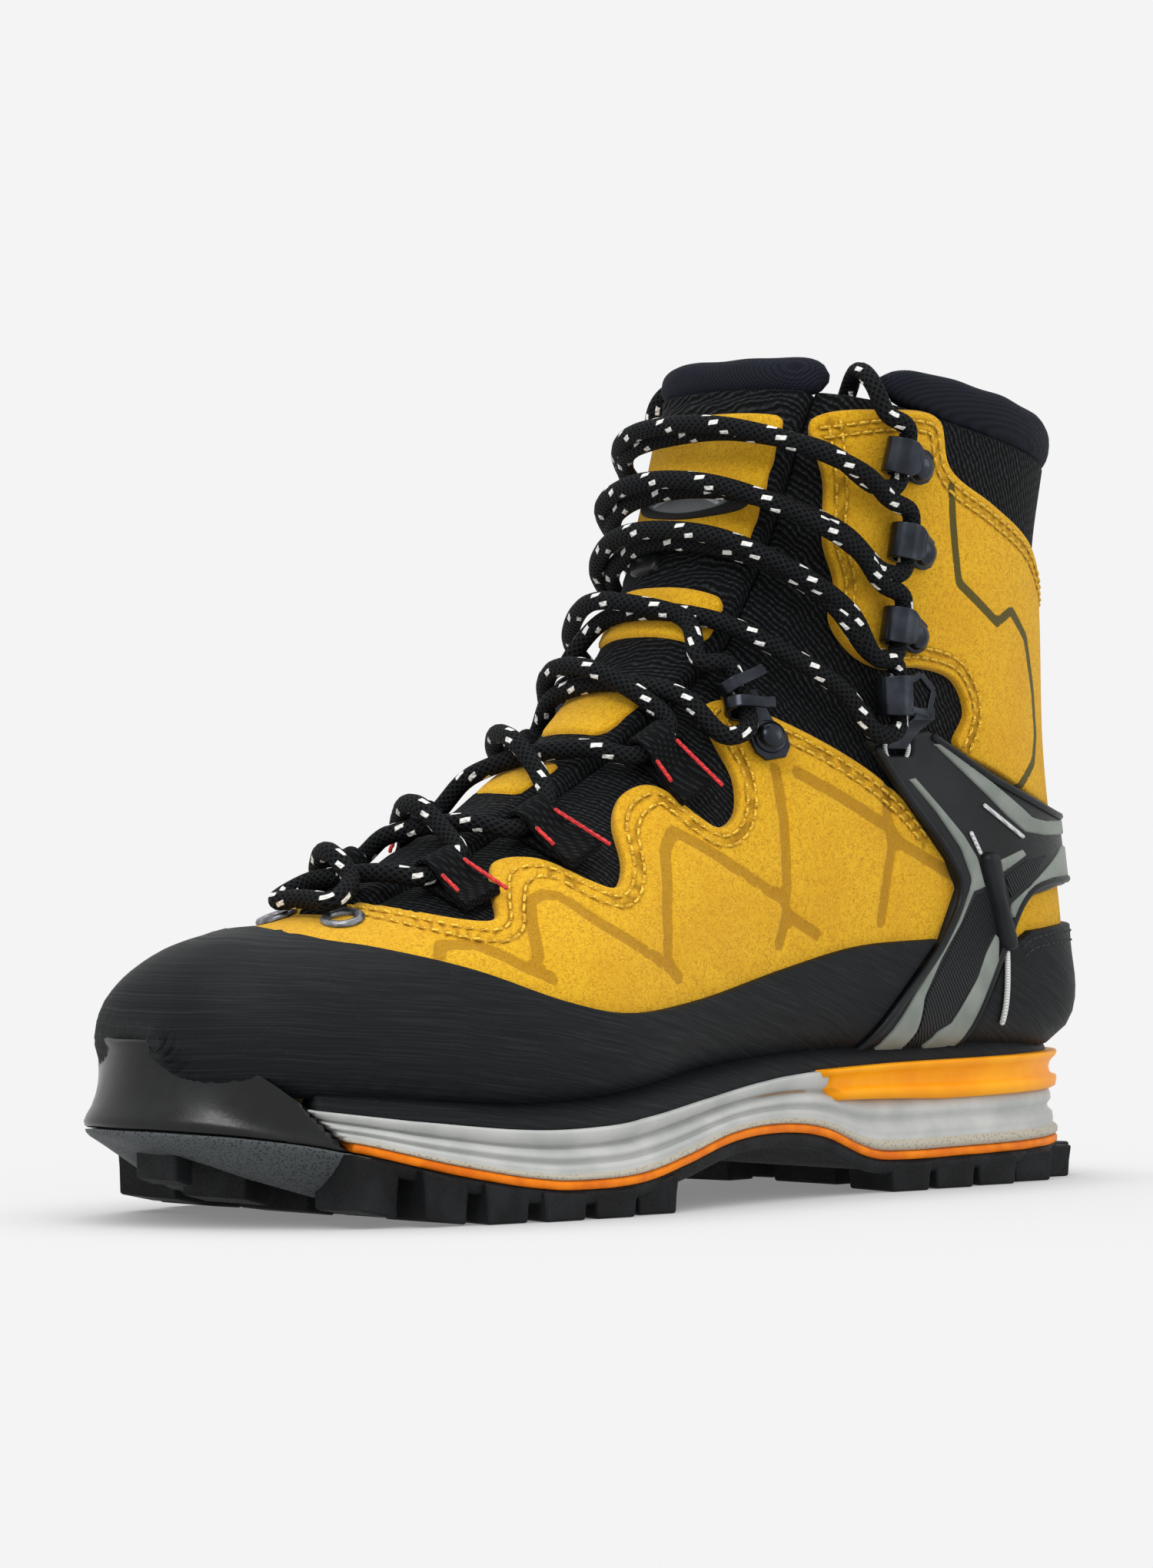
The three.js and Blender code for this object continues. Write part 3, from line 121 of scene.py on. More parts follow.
CHANNELS = [
    [[-14.5, 88.5], [12.5, 74.6], [17.7, 72.7], [18.3, 69], [29.4, 63.9]],
    [[20.8, 104], [20.7, 92], [18.9, 74.6], [17.7, 72.7]], [[18.3, 69], [14.3, 61.3]],
    [[27.2, 103.3], [39.9, 98], [53.8, 91.7], [57.9, 90.2], [61.5, 86.3], [82.3, 78]],
    [[58.2, 100.3], [57.3, 94.6], [57.9, 90.2], [58.6, 85.7], [56.3, 78.1], [53.4, 66.7]],
    [[-14.5, 88.5], [-19, 84], [-24.2, 71.3], [-28.3, 59]],
    [[-57.8, 73.3], [-54.6, 72.7], [-47.4, 66.7], [-33.6, 59.4], [-25, 55]],
    [[-28.3, 59], [-25.5, 54]],
    [[-57.8, 73.3], [-62.4, 71.6], [-65.5, 66.9], [-68.7, 58.7]],
    [[-92.3, 59], [-89.8, 61.9], [-81.6, 61.8], [-74, 57.7], [-66.5, 54.5]],
]
ZIG_LINE = [[81.5, 176], [82.3, 168.5], [85.1, 151.8], [100.3, 142.2], [106.9, 145.5],
            [114.8, 138.8], [119.6, 125.1], [121, 114.3], [118.5, 106.9], [108.1, 99.2]]

STRIPES = {
    "front": [[62.6, 101.9], [65, 102.4], [74, 95.3], [82.7, 88.3], [88, 82.5], [90.8, 75],
              [86.2, 73.8], [81, 66.1], [72.8, 57], [66.7, 48.5], [66.5, 41.8], [60.8, 33.3],
              [49.2, 32.5], [55.6, 40.4], [63.2, 49.5], [71.4, 58], [79.5, 66.8], [84.4, 74.1],
              [85.6, 77], [81.6, 84.7], [72.5, 93.7]],
    "top": [[71.8, 110.9], [74.5, 111.3], [82.2, 107.5], [94, 101.8], [105.8, 95.4],
            [110.8, 92.6], [118, 91.6], [170, 92.5], [170, 88], [117, 87.8], [107.5, 88.8],
            [100, 92.8], [91.9, 98.3], [80.2, 105.6]],
    "rear": [[94.5, 63.2], [95.9, 62.4], [95.5, 54.6], [89.2, 43.8], [83.4, 33], [66.6, 33],
             [72.5, 38.9], [74.8, 41.5], [79.1, 43], [87.4, 52.5], [90.9, 58.9]],
    "corner": [[96.5, 81.8], [106.2, 84.6], [107.4, 82.8], [97.4, 78.4]],
    "back": [[170, 85.5], [128.5, 85], [116, 79.1], [100.8, 70.8], [100.4, 68.2], [102.2, 66.5],
             [109.2, 74.2], [119.2, 76.6], [170, 77.5]],
}
RIBS = {
    "long": [[87.2, 73.2], [91.6, 74.2], [94, 63.6], [86.6, 53.4], [78.8, 43.7], [74, 42],
             [72, 39.8], [65.2, 33], [62, 33.3], [67, 41.8], [67.2, 48.2], [73.6, 56.3],
             [81.8, 66.1]],
    "short": [[98.6, 77.8], [107.6, 81.8], [117.4, 83], [111.7, 78.4], [100.8, 71.8]],
}
SLIDER = [[90, 83.1], [94.5, 83.6], [97.3, 73.4], [101.6, 59.7], [97.8, 59], [93.9, 69.5]]
STRAP_CABLES = [[[98.8, 61], [99.1, 53.3], [99.6, 42.7]], [[90.8, 95.7], [106.1, 87.6]],
                [[85.4, 88.8], [89, 83.6]]]


def lerp(a: float, b: float, t: float) -> float:
    """Value between two others."""
    return a + (b - a) * t


def smoothstep(low: float, high: float, x: Array) -> Array:
    """Smooth ramp from 0 at low to 1 at high."""
    t = np.clip((np.asarray(x, float) - low) / (high - low), 0, 1)
    return t * t * (3 - 2 * t)


def catmull(values: Array, s: Array) -> Array:
    """Catmull-Rom curve through evenly spaced values.

    Args:
        values: Values at 0, 1, 2 and so on.
        s: Places along them.

    Returns:
        The curve at each place.
    """
    values = np.asarray(values, float)
    n = len(values) - 1
    s = np.asarray(s, float)
    i = np.clip(np.floor(s).astype(int), 0, n - 1)
    t = s - i
    ends = [2 * values[0] - values[1]], [2 * values[-1] - values[-2]]
    padded = np.concatenate([ends[0], values, ends[1]])
    p0, p1, p2, p3 = (padded[i + k] for k in range(4))
    return 0.5 * (2 * p1 + (p2 - p0) * t + (2 * p0 - 5 * p1 + 4 * p2 - p3) * t ** 2
                  + (3 * p1 - p0 - 3 * p2 + p3) * t ** 3)


def height_line(points: Points, base: float = 0.0) -> Callable[[Array], Array]:
    """Height as a smooth function of x."""
    xs, zs = np.array(points, float).T
    return lambda x: base + catmull(zs, np.interp(x, xs, np.arange(len(xs))))


def rounded(points: Points, step: float = 1.2, closed: bool = False, smooth: bool = True) -> Array:
    """Dense line through points, curved between them or straight.

    Args:
        points: Points in any number of dimensions.
        step: Spacing of the line's points.
        closed: Whether it returns to its start.
        smooth: Whether it bends smoothly through the points.

    Returns:
        The line's points.
    """
    p = np.array(points, float)
    if closed:
        p = np.concatenate([p, p[:1]])
    if smooth:
        first, last = (p[-2], p[1]) if closed else (2 * p[0] - p[1], 2 * p[-1] - p[-2])
        q = np.concatenate([[first], p, [last]])
        out = []
        for i in range(1, len(q) - 2):
            knots = [0.0]
            for k in range(i - 1, i + 2):
                knots.append(knots[-1] + max(np.linalg.norm(q[k + 1] - q[k]), 1e-6) ** 0.5)
            t = np.linspace(knots[1], knots[2], 12, endpoint=False)[:, None]
            a = [(q[i - 1 + k] * (knots[k + 1] - t) + q[i + k] * (t - knots[k]))
                 / (knots[k + 1] - knots[k]) for k in range(3)]
            b = [(a[k] * (knots[k + 2] - t) + a[k + 1] * (t - knots[k]))
                 / (knots[k + 2] - knots[k]) for k in range(2)]
            out.append((b[0] * (knots[2] - t) + b[1] * (t - knots[1])) / (knots[2] - knots[1]))
        p = np.concatenate(out + [p[-1:]])
    return resampled(p, step)


def resampled(p: Array, step: float) -> Array:
    """Line with evenly spaced points.

    Args:
        p: Points of the line.
        step: Spacing wanted.

    Returns:
        The new points, ends kept.
    """
    lengths = np.concatenate([[0], np.cumsum(np.linalg.norm(np.diff(p, axis=0), axis=1))])
    count = max(int(round(lengths[-1] / step)), 1)
    goal = np.linspace(0, lengths[-1], count + 1)
    return np.stack([np.interp(goal, lengths, p[:, k]) for k in range(p.shape[1])], 1)


def relaxed(p: Array, rounds: int) -> Array:
    """Line with its corners eased.

    Args:
        p: Points of the line.
        rounds: Passes of averaging.

    Returns:
        The new points, ends kept.
    """
    p = p.copy()
    for _ in range(rounds):
        p[1:-1] = 0.5 * p[1:-1] + 0.25 * (p[:-2] + p[2:])
    return p


def directions(line: Array) -> Array:
    """Unit directions along a line."""
    along = np.gradient(line, axis=0)
    return along / np.maximum(np.linalg.norm(along, axis=1, keepdims=True), 1e-9)


def sheet_offset(line: Array, by: float) -> Array:
    """Line moved to its right by a distance in its own plane."""
    along = directions(line)
    return line + by * np.stack([along[:, 1], -along[:, 0]], 1)


class Tree:
    """Nearest distances to a cloud of points."""

    def __init__(self, points: Array) -> None:
        """Build the tree.

        Args:
            points: Points in three dimensions.
        """
        self._tree = KDTree(len(points))
        for i, p in enumerate(points):
            self._tree.insert(p, i)
        self._tree.balance()

    def distance(self, points: Array) -> Array:
        """Distances to the cloud."""
        return np.array([self._tree.find(p)[2] for p in points])


class Last:
    """Shape inside the upper: rings on a fan of planes from the toe (u 0) to the rim (u 1)."""

    U_MAX = 1.06
    TIP_ROWS = 12

    def __init__(self, rows: int = 341, steps: int = 160, across: int = 129) -> None:
        """Sample the surface.

        Args:
            rows: Rings along the boot.
            steps: Steps of a ring before it is evened out.
            across: Points of half a ring.
        """
        self.us = np.linspace(0, self.U_MAX, rows)
        s = self.us * (len(STATIONS) - 1)
        c = [catmull(STATIONS[:, k], s) for k in range(9)]
        self.front = np.stack([c[0], c[1]], 1)
        self.back = np.stack([c[2], c[3] + SOLE_LIFT], 1)
        angle = np.linspace(0, math.pi, steps + 1)
        upper = angle <= math.pi / 2
        a = np.where(upper, math.pi / 2 - angle, angle - math.pi / 2)
        sin, cos = np.clip(np.sin(a), 0, 1), np.clip(np.cos(a), 0, 1)
        power = np.where(upper[None], c[7][:, None], c[8][:, None])
        wide = c[6][:, None]
        ws = cos[None] ** (2 / power)
        ts = np.where(upper[None], wide + (1 - wide) * sin[None] ** (2 / power),
                      wide - (1 + wide) * sin[None] ** (2 / power))
        ws[:, 0] = ws[:, -1] = 0
        share = (ts + 1) / 2
        halves, self.shares, self.girths = {}, {}, {}
        for side, width in ((-1, np.maximum(c[4], 0.4)), (1, np.maximum(c[5], 0.4))):
            xz = self.back[:, None] + (self.front - self.back)[:, None] * share[..., None]
            p = np.stack([xz[..., 0], side * ws * width[:, None], xz[..., 1]], -1)
            steps_long = np.linalg.norm(np.diff(p, axis=1), axis=2)
            along = np.concatenate([np.zeros((rows, 1)), np.cumsum(steps_long, axis=1)], 1)
            goal = np.linspace(0, 1, across)
            halves[side] = np.empty((rows, across, 3))
            self.shares[side] = np.empty((rows, across, 1))
            for r in range(rows):
                f = along[r] / along[r, -1]
                for k in range(3):
                    halves[side][r, :, k] = np.interp(goal, f, p[r, :, k])
                self.shares[side][r, :, 0] = np.interp(goal, f, share[r])
            self.girths[side] = along[:, -1]
        self.points = np.concatenate([halves[-1][:, ::-1], halves[1][:, 1:]], 1)
        n = np.cross(np.gradient(self.points, axis=0), np.gradient(self.points, axis=1))
        ahead = np.array([-1.0, 0, 0]) * np.linalg.norm(n[self.TIP_ROWS])
        for row in range(self.TIP_ROWS):
            share = row / self.TIP_ROWS
            n[row] = (1 - share) * ahead + share * n[self.TIP_ROWS]
        self.normals = n / np.maximum(np.linalg.norm(n, axis=2, keepdims=True), 1e-9)

    @staticmethod
    def _sample(table: Array, u: Array, share: Array, top: float) -> Array:
        """Bilinear value of a table.

        Args:
            table: Values on rows and columns.
            u: Places along the rows.
            share: Places along the columns, 0 to 1.
            top: Value of u at the last row.

        Returns:
            The values.
        """
        fu = np.clip(np.asarray(u, float) / top, 0, 1) * (table.shape[0] - 1)
        fv = np.clip(np.asarray(share, float), 0, 1) * (table.shape[1] - 1)
        i = np.minimum(fu.astype(int), table.shape[0] - 2)
        j = np.minimum(fv.astype(int), table.shape[1] - 2)
        a, b = (fu - i)[..., None], (fv - j)[..., None]
        return ((table[i, j] * (1 - a) + table[i + 1, j] * a) * (1 - b)
                + (table[i, j + 1] * (1 - a) + table[i + 1, j + 1] * a) * b)

    def normal(self, u: Array, v: Array) -> Array:
        """Outward direction."""
        n = self._sample(self.normals, u, (np.asarray(v) + 1) / 2, self.U_MAX)
        return n / np.linalg.norm(n, axis=-1, keepdims=True)

    def at(self, u: Array, v: Array, offset: Array = 0.0) -> Array:
        """Point on the last or above it."""
        p = self._sample(self.points, u, (np.asarray(v) + 1) / 2, self.U_MAX)
        return p + self.normal(u, v) * np.asarray(offset, float)[..., None]

    def girth(self, u: Array, side: int = -1) -> Array:
        """Length of half a ring."""
        return np.interp(u, self.us, self.girths[side])

    def on(self, u: float, mm: float, offset: float) -> Array:
        """Point at a distance from the front line."""
        return self.at(u, mm / self.girth(u, -1 if mm < 0 else 1), offset)

    def locate(self, xz: Array, side: int = -1) -> tuple[Array, Array]:
        """Places on the last seen at points of the side view.

        Args:
            xz: Points of the side view.
            side: Which side is looked at.

        Returns:
            u and the share of the half ring.
        """
        x, z = np.atleast_2d(np.asarray(xz, float)).T
        low, high = np.full(x.shape, 0.004), np.full(x.shape, self.U_MAX)
        for _ in range(34):
            mid = (low + high) / 2
            f = [np.interp(mid, self.us, self.front[:, k]) for k in (0, 1)]
            b = [np.interp(mid, self.us, self.back[:, k]) for k in (0, 1)]
            cross = (f[0] - b[0]) * (z - b[1]) - (f[1] - b[1]) * (x - b[0])
            high = np.where(cross > 0, mid, high)
            low = np.where(cross > 0, low, mid)
        u = (low + high) / 2
        f = [np.interp(u, self.us, self.front[:, k]) for k in (0, 1)]
        b = [np.interp(u, self.us, self.back[:, k]) for k in (0, 1)]
        d = [f[0] - b[0], f[1] - b[1]]
        share = (d[0] * (x - b[0]) + d[1] * (z - b[1])) / (d[0] ** 2 + d[1] ** 2)
        lo, hi = np.zeros(x.shape), np.ones(x.shape)
        for _ in range(20):
            mid = (lo + hi) / 2
            value = self._sample(self.shares[side], u, mid, self.U_MAX)[..., 0]
            hi = np.where(value < share, mid, hi)
            lo = np.where(value < share, lo, mid)
        return u, (lo + hi) / 2

    def over(self, xz: Array, side: int, offset: Array) -> Array:
        """Points above the places seen at points of the side view."""
        u, v = self.locate(xz, side)
        return self.at(u, side * v, offset)


LAST = Last()
TREAD, PLATE, EDGE_LAYER = 4.5, 2.4, 2.2
FEATHER_BALL = 20.6
ground_line = height_line([[-152, 14], [-140, 9.5], [-124, 4.5], [-104, 1], [-90, 0], [-60, 0],
                           [100, 0], [140, 0], [152, 1.5]])
orange_z = height_line([[-152, 15], [-138, 13.4], [-123, 10.5], [-100, 4.8], [-76, 0.6],
                        [-60, 0], [-45, 0.8], [-30, 3.6], [-8, 8.4], [12, 9.6], [30, 7.8],
                        [48, 2], [62, 0.9], [80, 1], [120, 1.4], [152, 2.2]],
                       TREAD + PLATE + EDGE_LAYER / 2)
feather_z = height_line([[-152, 9.5], [-130, 6.2], [-108, 3.2], [-78, 0.4], [-56, 0.5],
                         [-42, 1.8], [-15, 5.4], [10, 8.6], [27, 10], [60, 11], [110, 11.5],
                         [152, 12]], FEATHER_BALL)
bumper_z = height_line([[-156, 20.4], [-152, 20], [-147, 20.8], [-143, 18.2], [-137, 13.2],
                        [-130, 7.0], [-124, 2.5], [-100, -16], [152, -16]], FEATHER_BALL)
LEDGE = 27.5
WEDGE = 9.5


def ground_z(x: Array) -> Array:
    """Underside of the lugs."""
    return np.maximum(ground_line(x), 0)


def plate_top(x: Array) -> Array:
    """Top of the black outsole."""
    return orange_z(x) - EDGE_LAYER / 2


def wedge_bottom(x: Array) -> Array:
    """Underside of the heel wedge."""
    return feather_z(x) - WEDGE * np.minimum(1, 0.75 + (np.asarray(x) - LEDGE) / 200)


def throat_half(u: Array) -> Array:
    """Half width of the throat.

    Args:
        u: Place from toe to rim.

    Returns:
        Millimetres.
    """
    slope = (THROAT[-1, 1] - THROAT[-2, 1]) / (THROAT[-1, 0] - THROAT[-2, 0])
    beyond = np.maximum(np.asarray(u, float) - 1, 0) * slope
    return np.interp(u, THROAT[:, 0], THROAT[:, 1]) + beyond


# ------------------------------------------------------------------ shader graphs
def srgb(r: int, g: int, b: int) -> tuple[float, ...]:
    """Linear colour of 8-bit display values, with alpha."""
    shares = [c / 255 for c in (r, g, b)]
    return (*(s / 12.92 if s <= 0.04045 else ((s + 0.055) / 1.055) ** 2.4 for s in shares), 1.0)


class Wire:
    """A value of a shader graph that can be used in sums."""

    def __init__(self, graph: "Graph", socket: bpy.types.NodeSocket) -> None:
        """Wrap a socket."""
        self.graph = graph
        self.socket = socket

    @property
    def is_vector(self) -> bool:
        """Whether it carries a vector."""
        return self.socket.type == "VECTOR"

    def _sum(self, kind: str, a: object, b: object = None) -> "Wire":
        """Node of one sum.

        Args:
            kind: Operation of the maths node.
            a: First value.
            b: Second value, if any.

        Returns:
            The result.
        """
        vector = any(isinstance(v, Wire) and v.is_vector for v in (a, b))
        name = "ShaderNodeVectorMath" if vector else "ShaderNodeMath"
        inputs: dict[int, object] = {}
        for i, v in enumerate((a, b)):
            if v is not None:
                inputs[i] = (v, v, v) if vector and isinstance(v, (int, float)) else v
        return self.graph.node(name, inputs, operation=kind)

    def __add__(self, other: object) -> "Wire":
        """Sum."""
        return self._sum("ADD", self, other)

    def __radd__(self, other: object) -> "Wire":
        """Sum, reflected."""
        return self._sum("ADD", other, self)

    def __sub__(self, other: object) -> "Wire":
        """Difference."""
        return self._sum("SUBTRACT", self, other)

    def __rsub__(self, other: object) -> "Wire":
        """Difference, reflected."""
        return self._sum("SUBTRACT", other, self)

    def __mul__(self, other: object) -> "Wire":
        """Product."""
        return self._sum("MULTIPLY", self, other)

    def __rmul__(self, other: object) -> "Wire":
        """Product, reflected."""
        return self._sum("MULTIPLY", other, self)

    def __truediv__(self, other: object) -> "Wire":
        """Quotient."""
        return self._sum("DIVIDE", self, other)

    def __rtruediv__(self, other: object) -> "Wire":
        """Quotient, reflected."""
        return self._sum("DIVIDE", other, self)

    def __neg__(self) -> "Wire":
        """Opposite."""
        return self * -1.0

    def call(self, kind: str, other: object = None) -> "Wire":
        """Any other operation of the maths nodes."""
        return self._sum(kind, self, other)

    def wave(self) -> "Wire":
        """Its sine, from 0 to 1."""
        return self.call("SINE") * 0.5 + 0.5

    def ramp(self, low: float, high: float, start: float = 0.0, end: float = 1.0) -> "Wire":
        """Smooth ramp between two values."""
        return self.graph.node("ShaderNodeMapRange", {0: self, 1: low, 2: high, 3: start, 4: end},
                               interpolation_type="SMOOTHSTEP")

    def mix(self, a: object, b: object) -> "Wire":
        """Blend of two colours by this value."""
        return self.graph.node("ShaderNodeMix", {0: self, 6: a, 7: b}, output=2, data_type="RGBA")


class Graph:
    """Material with a principled shader whose inputs are wired by name."""

    def __init__(self, name: str) -> None:
        """Create the material.

        Args:
            name: Name of the material.
        """
        self.material = bpy.data.materials.new(name)
        self.material.use_nodes = True
        self.tree = self.material.node_tree
        self.shader = self.tree.nodes["Principled BSDF"]

    def node(self, kind: str, inputs: Optional[dict] = None, output: object = 0,
             **settings: object) -> Wire:
        """Any node of the graph.

        Args:
            kind: Type of the node.
            inputs: Values or wires by index or name.
            output: Index or name of the output wanted.
            **settings: Properties of the node.

        Returns:
            The output.
        """
        made = self.tree.nodes.new(kind)
        for key, value in settings.items():
            setattr(made, key, value)
        for key, value in (inputs or {}).items():
            if isinstance(value, Wire):
                self.tree.links.new(value.socket, made.inputs[key])
            else:
                made.inputs[key].default_value = value
        return Wire(self, made.outputs[output])

    def place(self) -> Wire:
        """Place on the piece in millimetres."""
        return self.node("ShaderNodeTexCoord", output="Object") * 1000.0

    def attribute(self, name: str) -> Wire:
        """Number stored on the mesh."""
        return self.node("ShaderNodeAttribute", output="Fac", attribute_name=name)

    def split(self, vector: Wire) -> tuple[Wire, Wire, Wire]:
        """Parts of a vector.

        Args:
            vector: The vector.

        Returns:
            Its three numbers.
        """
        first = self.node("ShaderNodeSeparateXYZ", {0: vector})
        outputs = first.socket.node.outputs
        return first, Wire(self, outputs[1]), Wire(self, outputs[2])

    def noise(self, vector: Wire, size: float, detail: float = 2.0, rough: float = 0.5) -> Wire:
        """Soft noise from 0 to 1."""
        return self.node("ShaderNodeTexNoise", {"Vector": vector, "Scale": 1 / size,
                                                "Detail": detail, "Roughness": rough})

    def cells(self, vector: Wire, size: float) -> Wire:
        """Distance to the nearest of scattered points, 0 at them."""
        return self.node("ShaderNodeTexVoronoi", {"Vector": vector, "Scale": 1 / size})

    def bump(self, height: Wire, depth: float) -> Wire:
        """Normal of a height in millimetres."""
        return self.node("ShaderNodeBump", {"Strength": 1.0, "Distance": depth / 1000,
                                            "Height": height}, output="Normal")

    def dress(self, **inputs: object) -> bpy.types.Material:
        """Wire the shader.

        Args:
            **inputs: Values or wires by input name, spaces written as underscores.

        Returns:
            The material.
        """
        for key, value in inputs.items():
            target = self.shader.inputs[key.replace("_", " ")]
            if isinstance(value, Wire):
                self.tree.links.new(value.socket, target)
            else:
                target.default_value = value
        return self.material


class Finish:
    """A finish makes one material once and hands it to every piece."""

    slot = "textile"
    made: ClassVar[dict] = {}

    @property
    def name(self) -> str:
        """Name of the material."""
        return getattr(self, "label", type(self).__name__.lower())

    def make(self, g: Graph) -> bpy.types.Material:
        """Build the material.

        Args:
            g: Empty graph.

        Returns:
            The material.
        """
        raise NotImplementedError

    def material(self) -> bpy.types.Material:
        """The material, made at first use.

        Returns:
            The material.
        """
        if self.name not in self.made:
            self.made[self.name] = self.make(Graph(self.name))
        return self.made[self.name]


class Suede(Finish):
    """Napped golden leather with pressed channels."""

    slot = "suede"

    def make(self, g: Graph) -> bpy.types.Material:
        """Build the material.

        Args:
            g: Empty graph.

        Returns:
            The material.
        """
        p = g.place()
        grain = g.noise(p, 0.55, 3, 0.7)
        nap = g.noise(p, 1.6, 2)
        cloud = g.noise(p, 17, 3)
        colour = grain.ramp(0.3, 0.72).mix(srgb(190, 134, 12), srgb(238, 190, 44))
        colour = nap.ramp(0.42, 0.75).mix(colour, srgb(226, 176, 34))
        colour = (cloud.ramp(0.35, 0.7) * 0.35).mix(colour, srgb(206, 146, 24))
        pressed = g.attribute("channel").ramp(1.45, 1.85, 1, 0)
        colour = (pressed * 0.62).mix(colour, srgb(150, 104, 18))
        seam = g.attribute("seam").ramp(0.4, 1.1, 1, 0)
        colour = (seam * 0.5).mix(colour, srgb(112, 70, 6))
        edge = g.attribute("edge").ramp(0.2, 1.1, 1, 0)
        colour = (edge * 0.4).mix(colour, srgb(168, 116, 24))
        line = g.attribute("line").ramp(1.1, 1.45, 1, 0)
        colour = line.mix(colour, srgb(84, 74, 22))
        height = grain + nap * 0.6
        return g.dress(Base_Color=colour, Roughness=line.ramp(0, 1, 0.95, 0.7),
                       Normal=g.bump(height, 0.34), Sheen_Weight=0.1, Specular_IOR_Level=0.1)


class Rand(Finish):
    """Matte black rubber sheet with fine drawn lines."""

    slot = "rubber"

    def make(self, g: Graph) -> bpy.types.Material:
        """Build the material.

        Args:
            g: Empty graph.

        Returns:
            The material.
        """
        p = g.place()
        x, _, z = g.split(p)
        bend = (x * x) * 0.0016
        across = z * 1.9 + x * 0.52 + bend + g.noise(p, 26, 2) * 5.0
        long = g.node("ShaderNodeCombineXYZ", {0: across, 1: x * 0.035, 2: 0.0})
        hair = g.noise(long, 0.8, 3, 0.75)
        dust = g.noise(p, 0.7, 2)
        colour = hair.ramp(0.42, 0.8).mix(srgb(13, 15, 17), srgb(34, 38, 41))
        colour = (dust.ramp(0.62, 0.8) * 0.5).mix(colour, srgb(40, 44, 47))
        rough = hair.ramp(0.3, 0.8, 0.62, 0.5)
        return g.dress(Base_Color=colour, Roughness=rough, Normal=g.bump(hair, 0.1),
                       Specular_IOR_Level=0.16)


class Tread(Finish):
    """Black outsole rubber with a pale speckled band where it turns up at the toe."""

    slot = "rubber"

    def make(self, g: Graph) -> bpy.types.Material:
        """Build the material.

        Args:
            g: Empty graph.

        Returns:
            The material.
        """
        p = g.place()
        fine = g.noise(p, 0.6, 3)
        broad = g.noise(p, 9, 2)
        colour = broad.ramp(0.35, 0.7).mix(srgb(13, 14, 16), srgb(26, 28, 30))
        speck = g.cells(p, 0.7).ramp(0.15, 0.5)
        sand = speck.mix(srgb(38, 41, 43), srgb(78, 82, 84))
        mask = g.attribute("sand")
        colour = mask.ramp(0.45, 0.6).mix(colour, sand)
        return g.dress(Base_Color=colour, Roughness=fine.ramp(0.3, 0.7, 0.5, 0.7),
                       Normal=g.bump(fine, 0.12), Specular_IOR_Level=0.18)


@dataclass(frozen=True)
class Tone(Finish):
    """Two tones in soft clouds under a fine grain: rubber, plastic, metal or board.

    Attributes:
        label: Name of the material.
        dark: Colour of the hollows.
        pale: Colour of the crests.
        cloud: Size, octaves and finer share of the clouds.
        grain: The same of the grain.
        rough: Range of the values that make it rougher, and roughness at both ends.
        span: Values of the clouds between which the colour turns.
        slot: Kind of surface; not used.
        worn: Whether the roughness follows the clouds and not the grain.
        depth: Depth of the grain.
        shine: Specular level.
        metal: Share of metal.
    """

    label: str
    dark: tuple
    pale: tuple
    cloud: tuple
    grain: tuple
    rough: tuple
    span: tuple = (0.3, 0.7)
    slot: str = "moulded"
    worn: bool = False
    depth: float = 0.0
    shine: float = 0.5
    metal: float = 0.0

    def make(self, g: Graph) -> bpy.types.Material:
        """Build the material.

        Args:
            g: Empty graph.

        Returns:
            The material.
        """
        p = g.place()
        cloud, grain = g.noise(p, *self.cloud), g.noise(p, *self.grain)
        extra = {"Normal": g.bump(grain, self.depth)} if self.depth else {}
        return g.dress(Base_Color=cloud.ramp(*self.span).mix(self.dark, self.pale),
                       Roughness=(cloud if self.worn else grain).ramp(*self.rough),
                       Specular_IOR_Level=self.shine, Metallic=self.metal, **extra)


class Foam(Finish):
    """Pale moulded midsole with a sandy lip at its foot, painted shade along its groove and a stain
    in it.
    """

    slot = "midsole"

    def make(self, g: Graph) -> bpy.types.Material:
        """Build the material.

        Args:
            g: Empty graph.

        Returns:
            The material.
        """
        p = g.place()
        x, _, _ = g.split(p)
        fine = g.noise(p, 0.7, 3)
        broad = g.noise(p, 12, 3)
        rise = g.attribute("rise")
        colour = broad.ramp(0.3, 0.7).mix(srgb(172, 174, 172), srgb(190, 191, 188))
        speck = g.cells(p, 0.9).ramp(0.15, 0.4)
        sand = speck.mix(srgb(124, 114, 96), srgb(178, 170, 152))
        colour = (rise.ramp(0.115, 0.15, 1, 0) * 0.85).mix(colour, sand)
        groove = rise.ramp(0.6, 0.64) * rise.ramp(0.66, 0.7, 1, 0)
        # painted shade: the foam is darkened towards grey along its groove
        colour = (groove * 0.35).mix(colour, srgb(120, 122, 120))
        stain = groove * x.ramp(4, 12) * x.ramp(26, 29, 1, 0)
        colour = (stain * 0.75).mix(colour, srgb(150, 112, 72))
        return g.dress(Base_Color=colour, Roughness=fine.ramp(0.3, 0.7, 0.45, 0.6),
                       Normal=g.bump(fine, 0.06), Specular_IOR_Level=0.25)


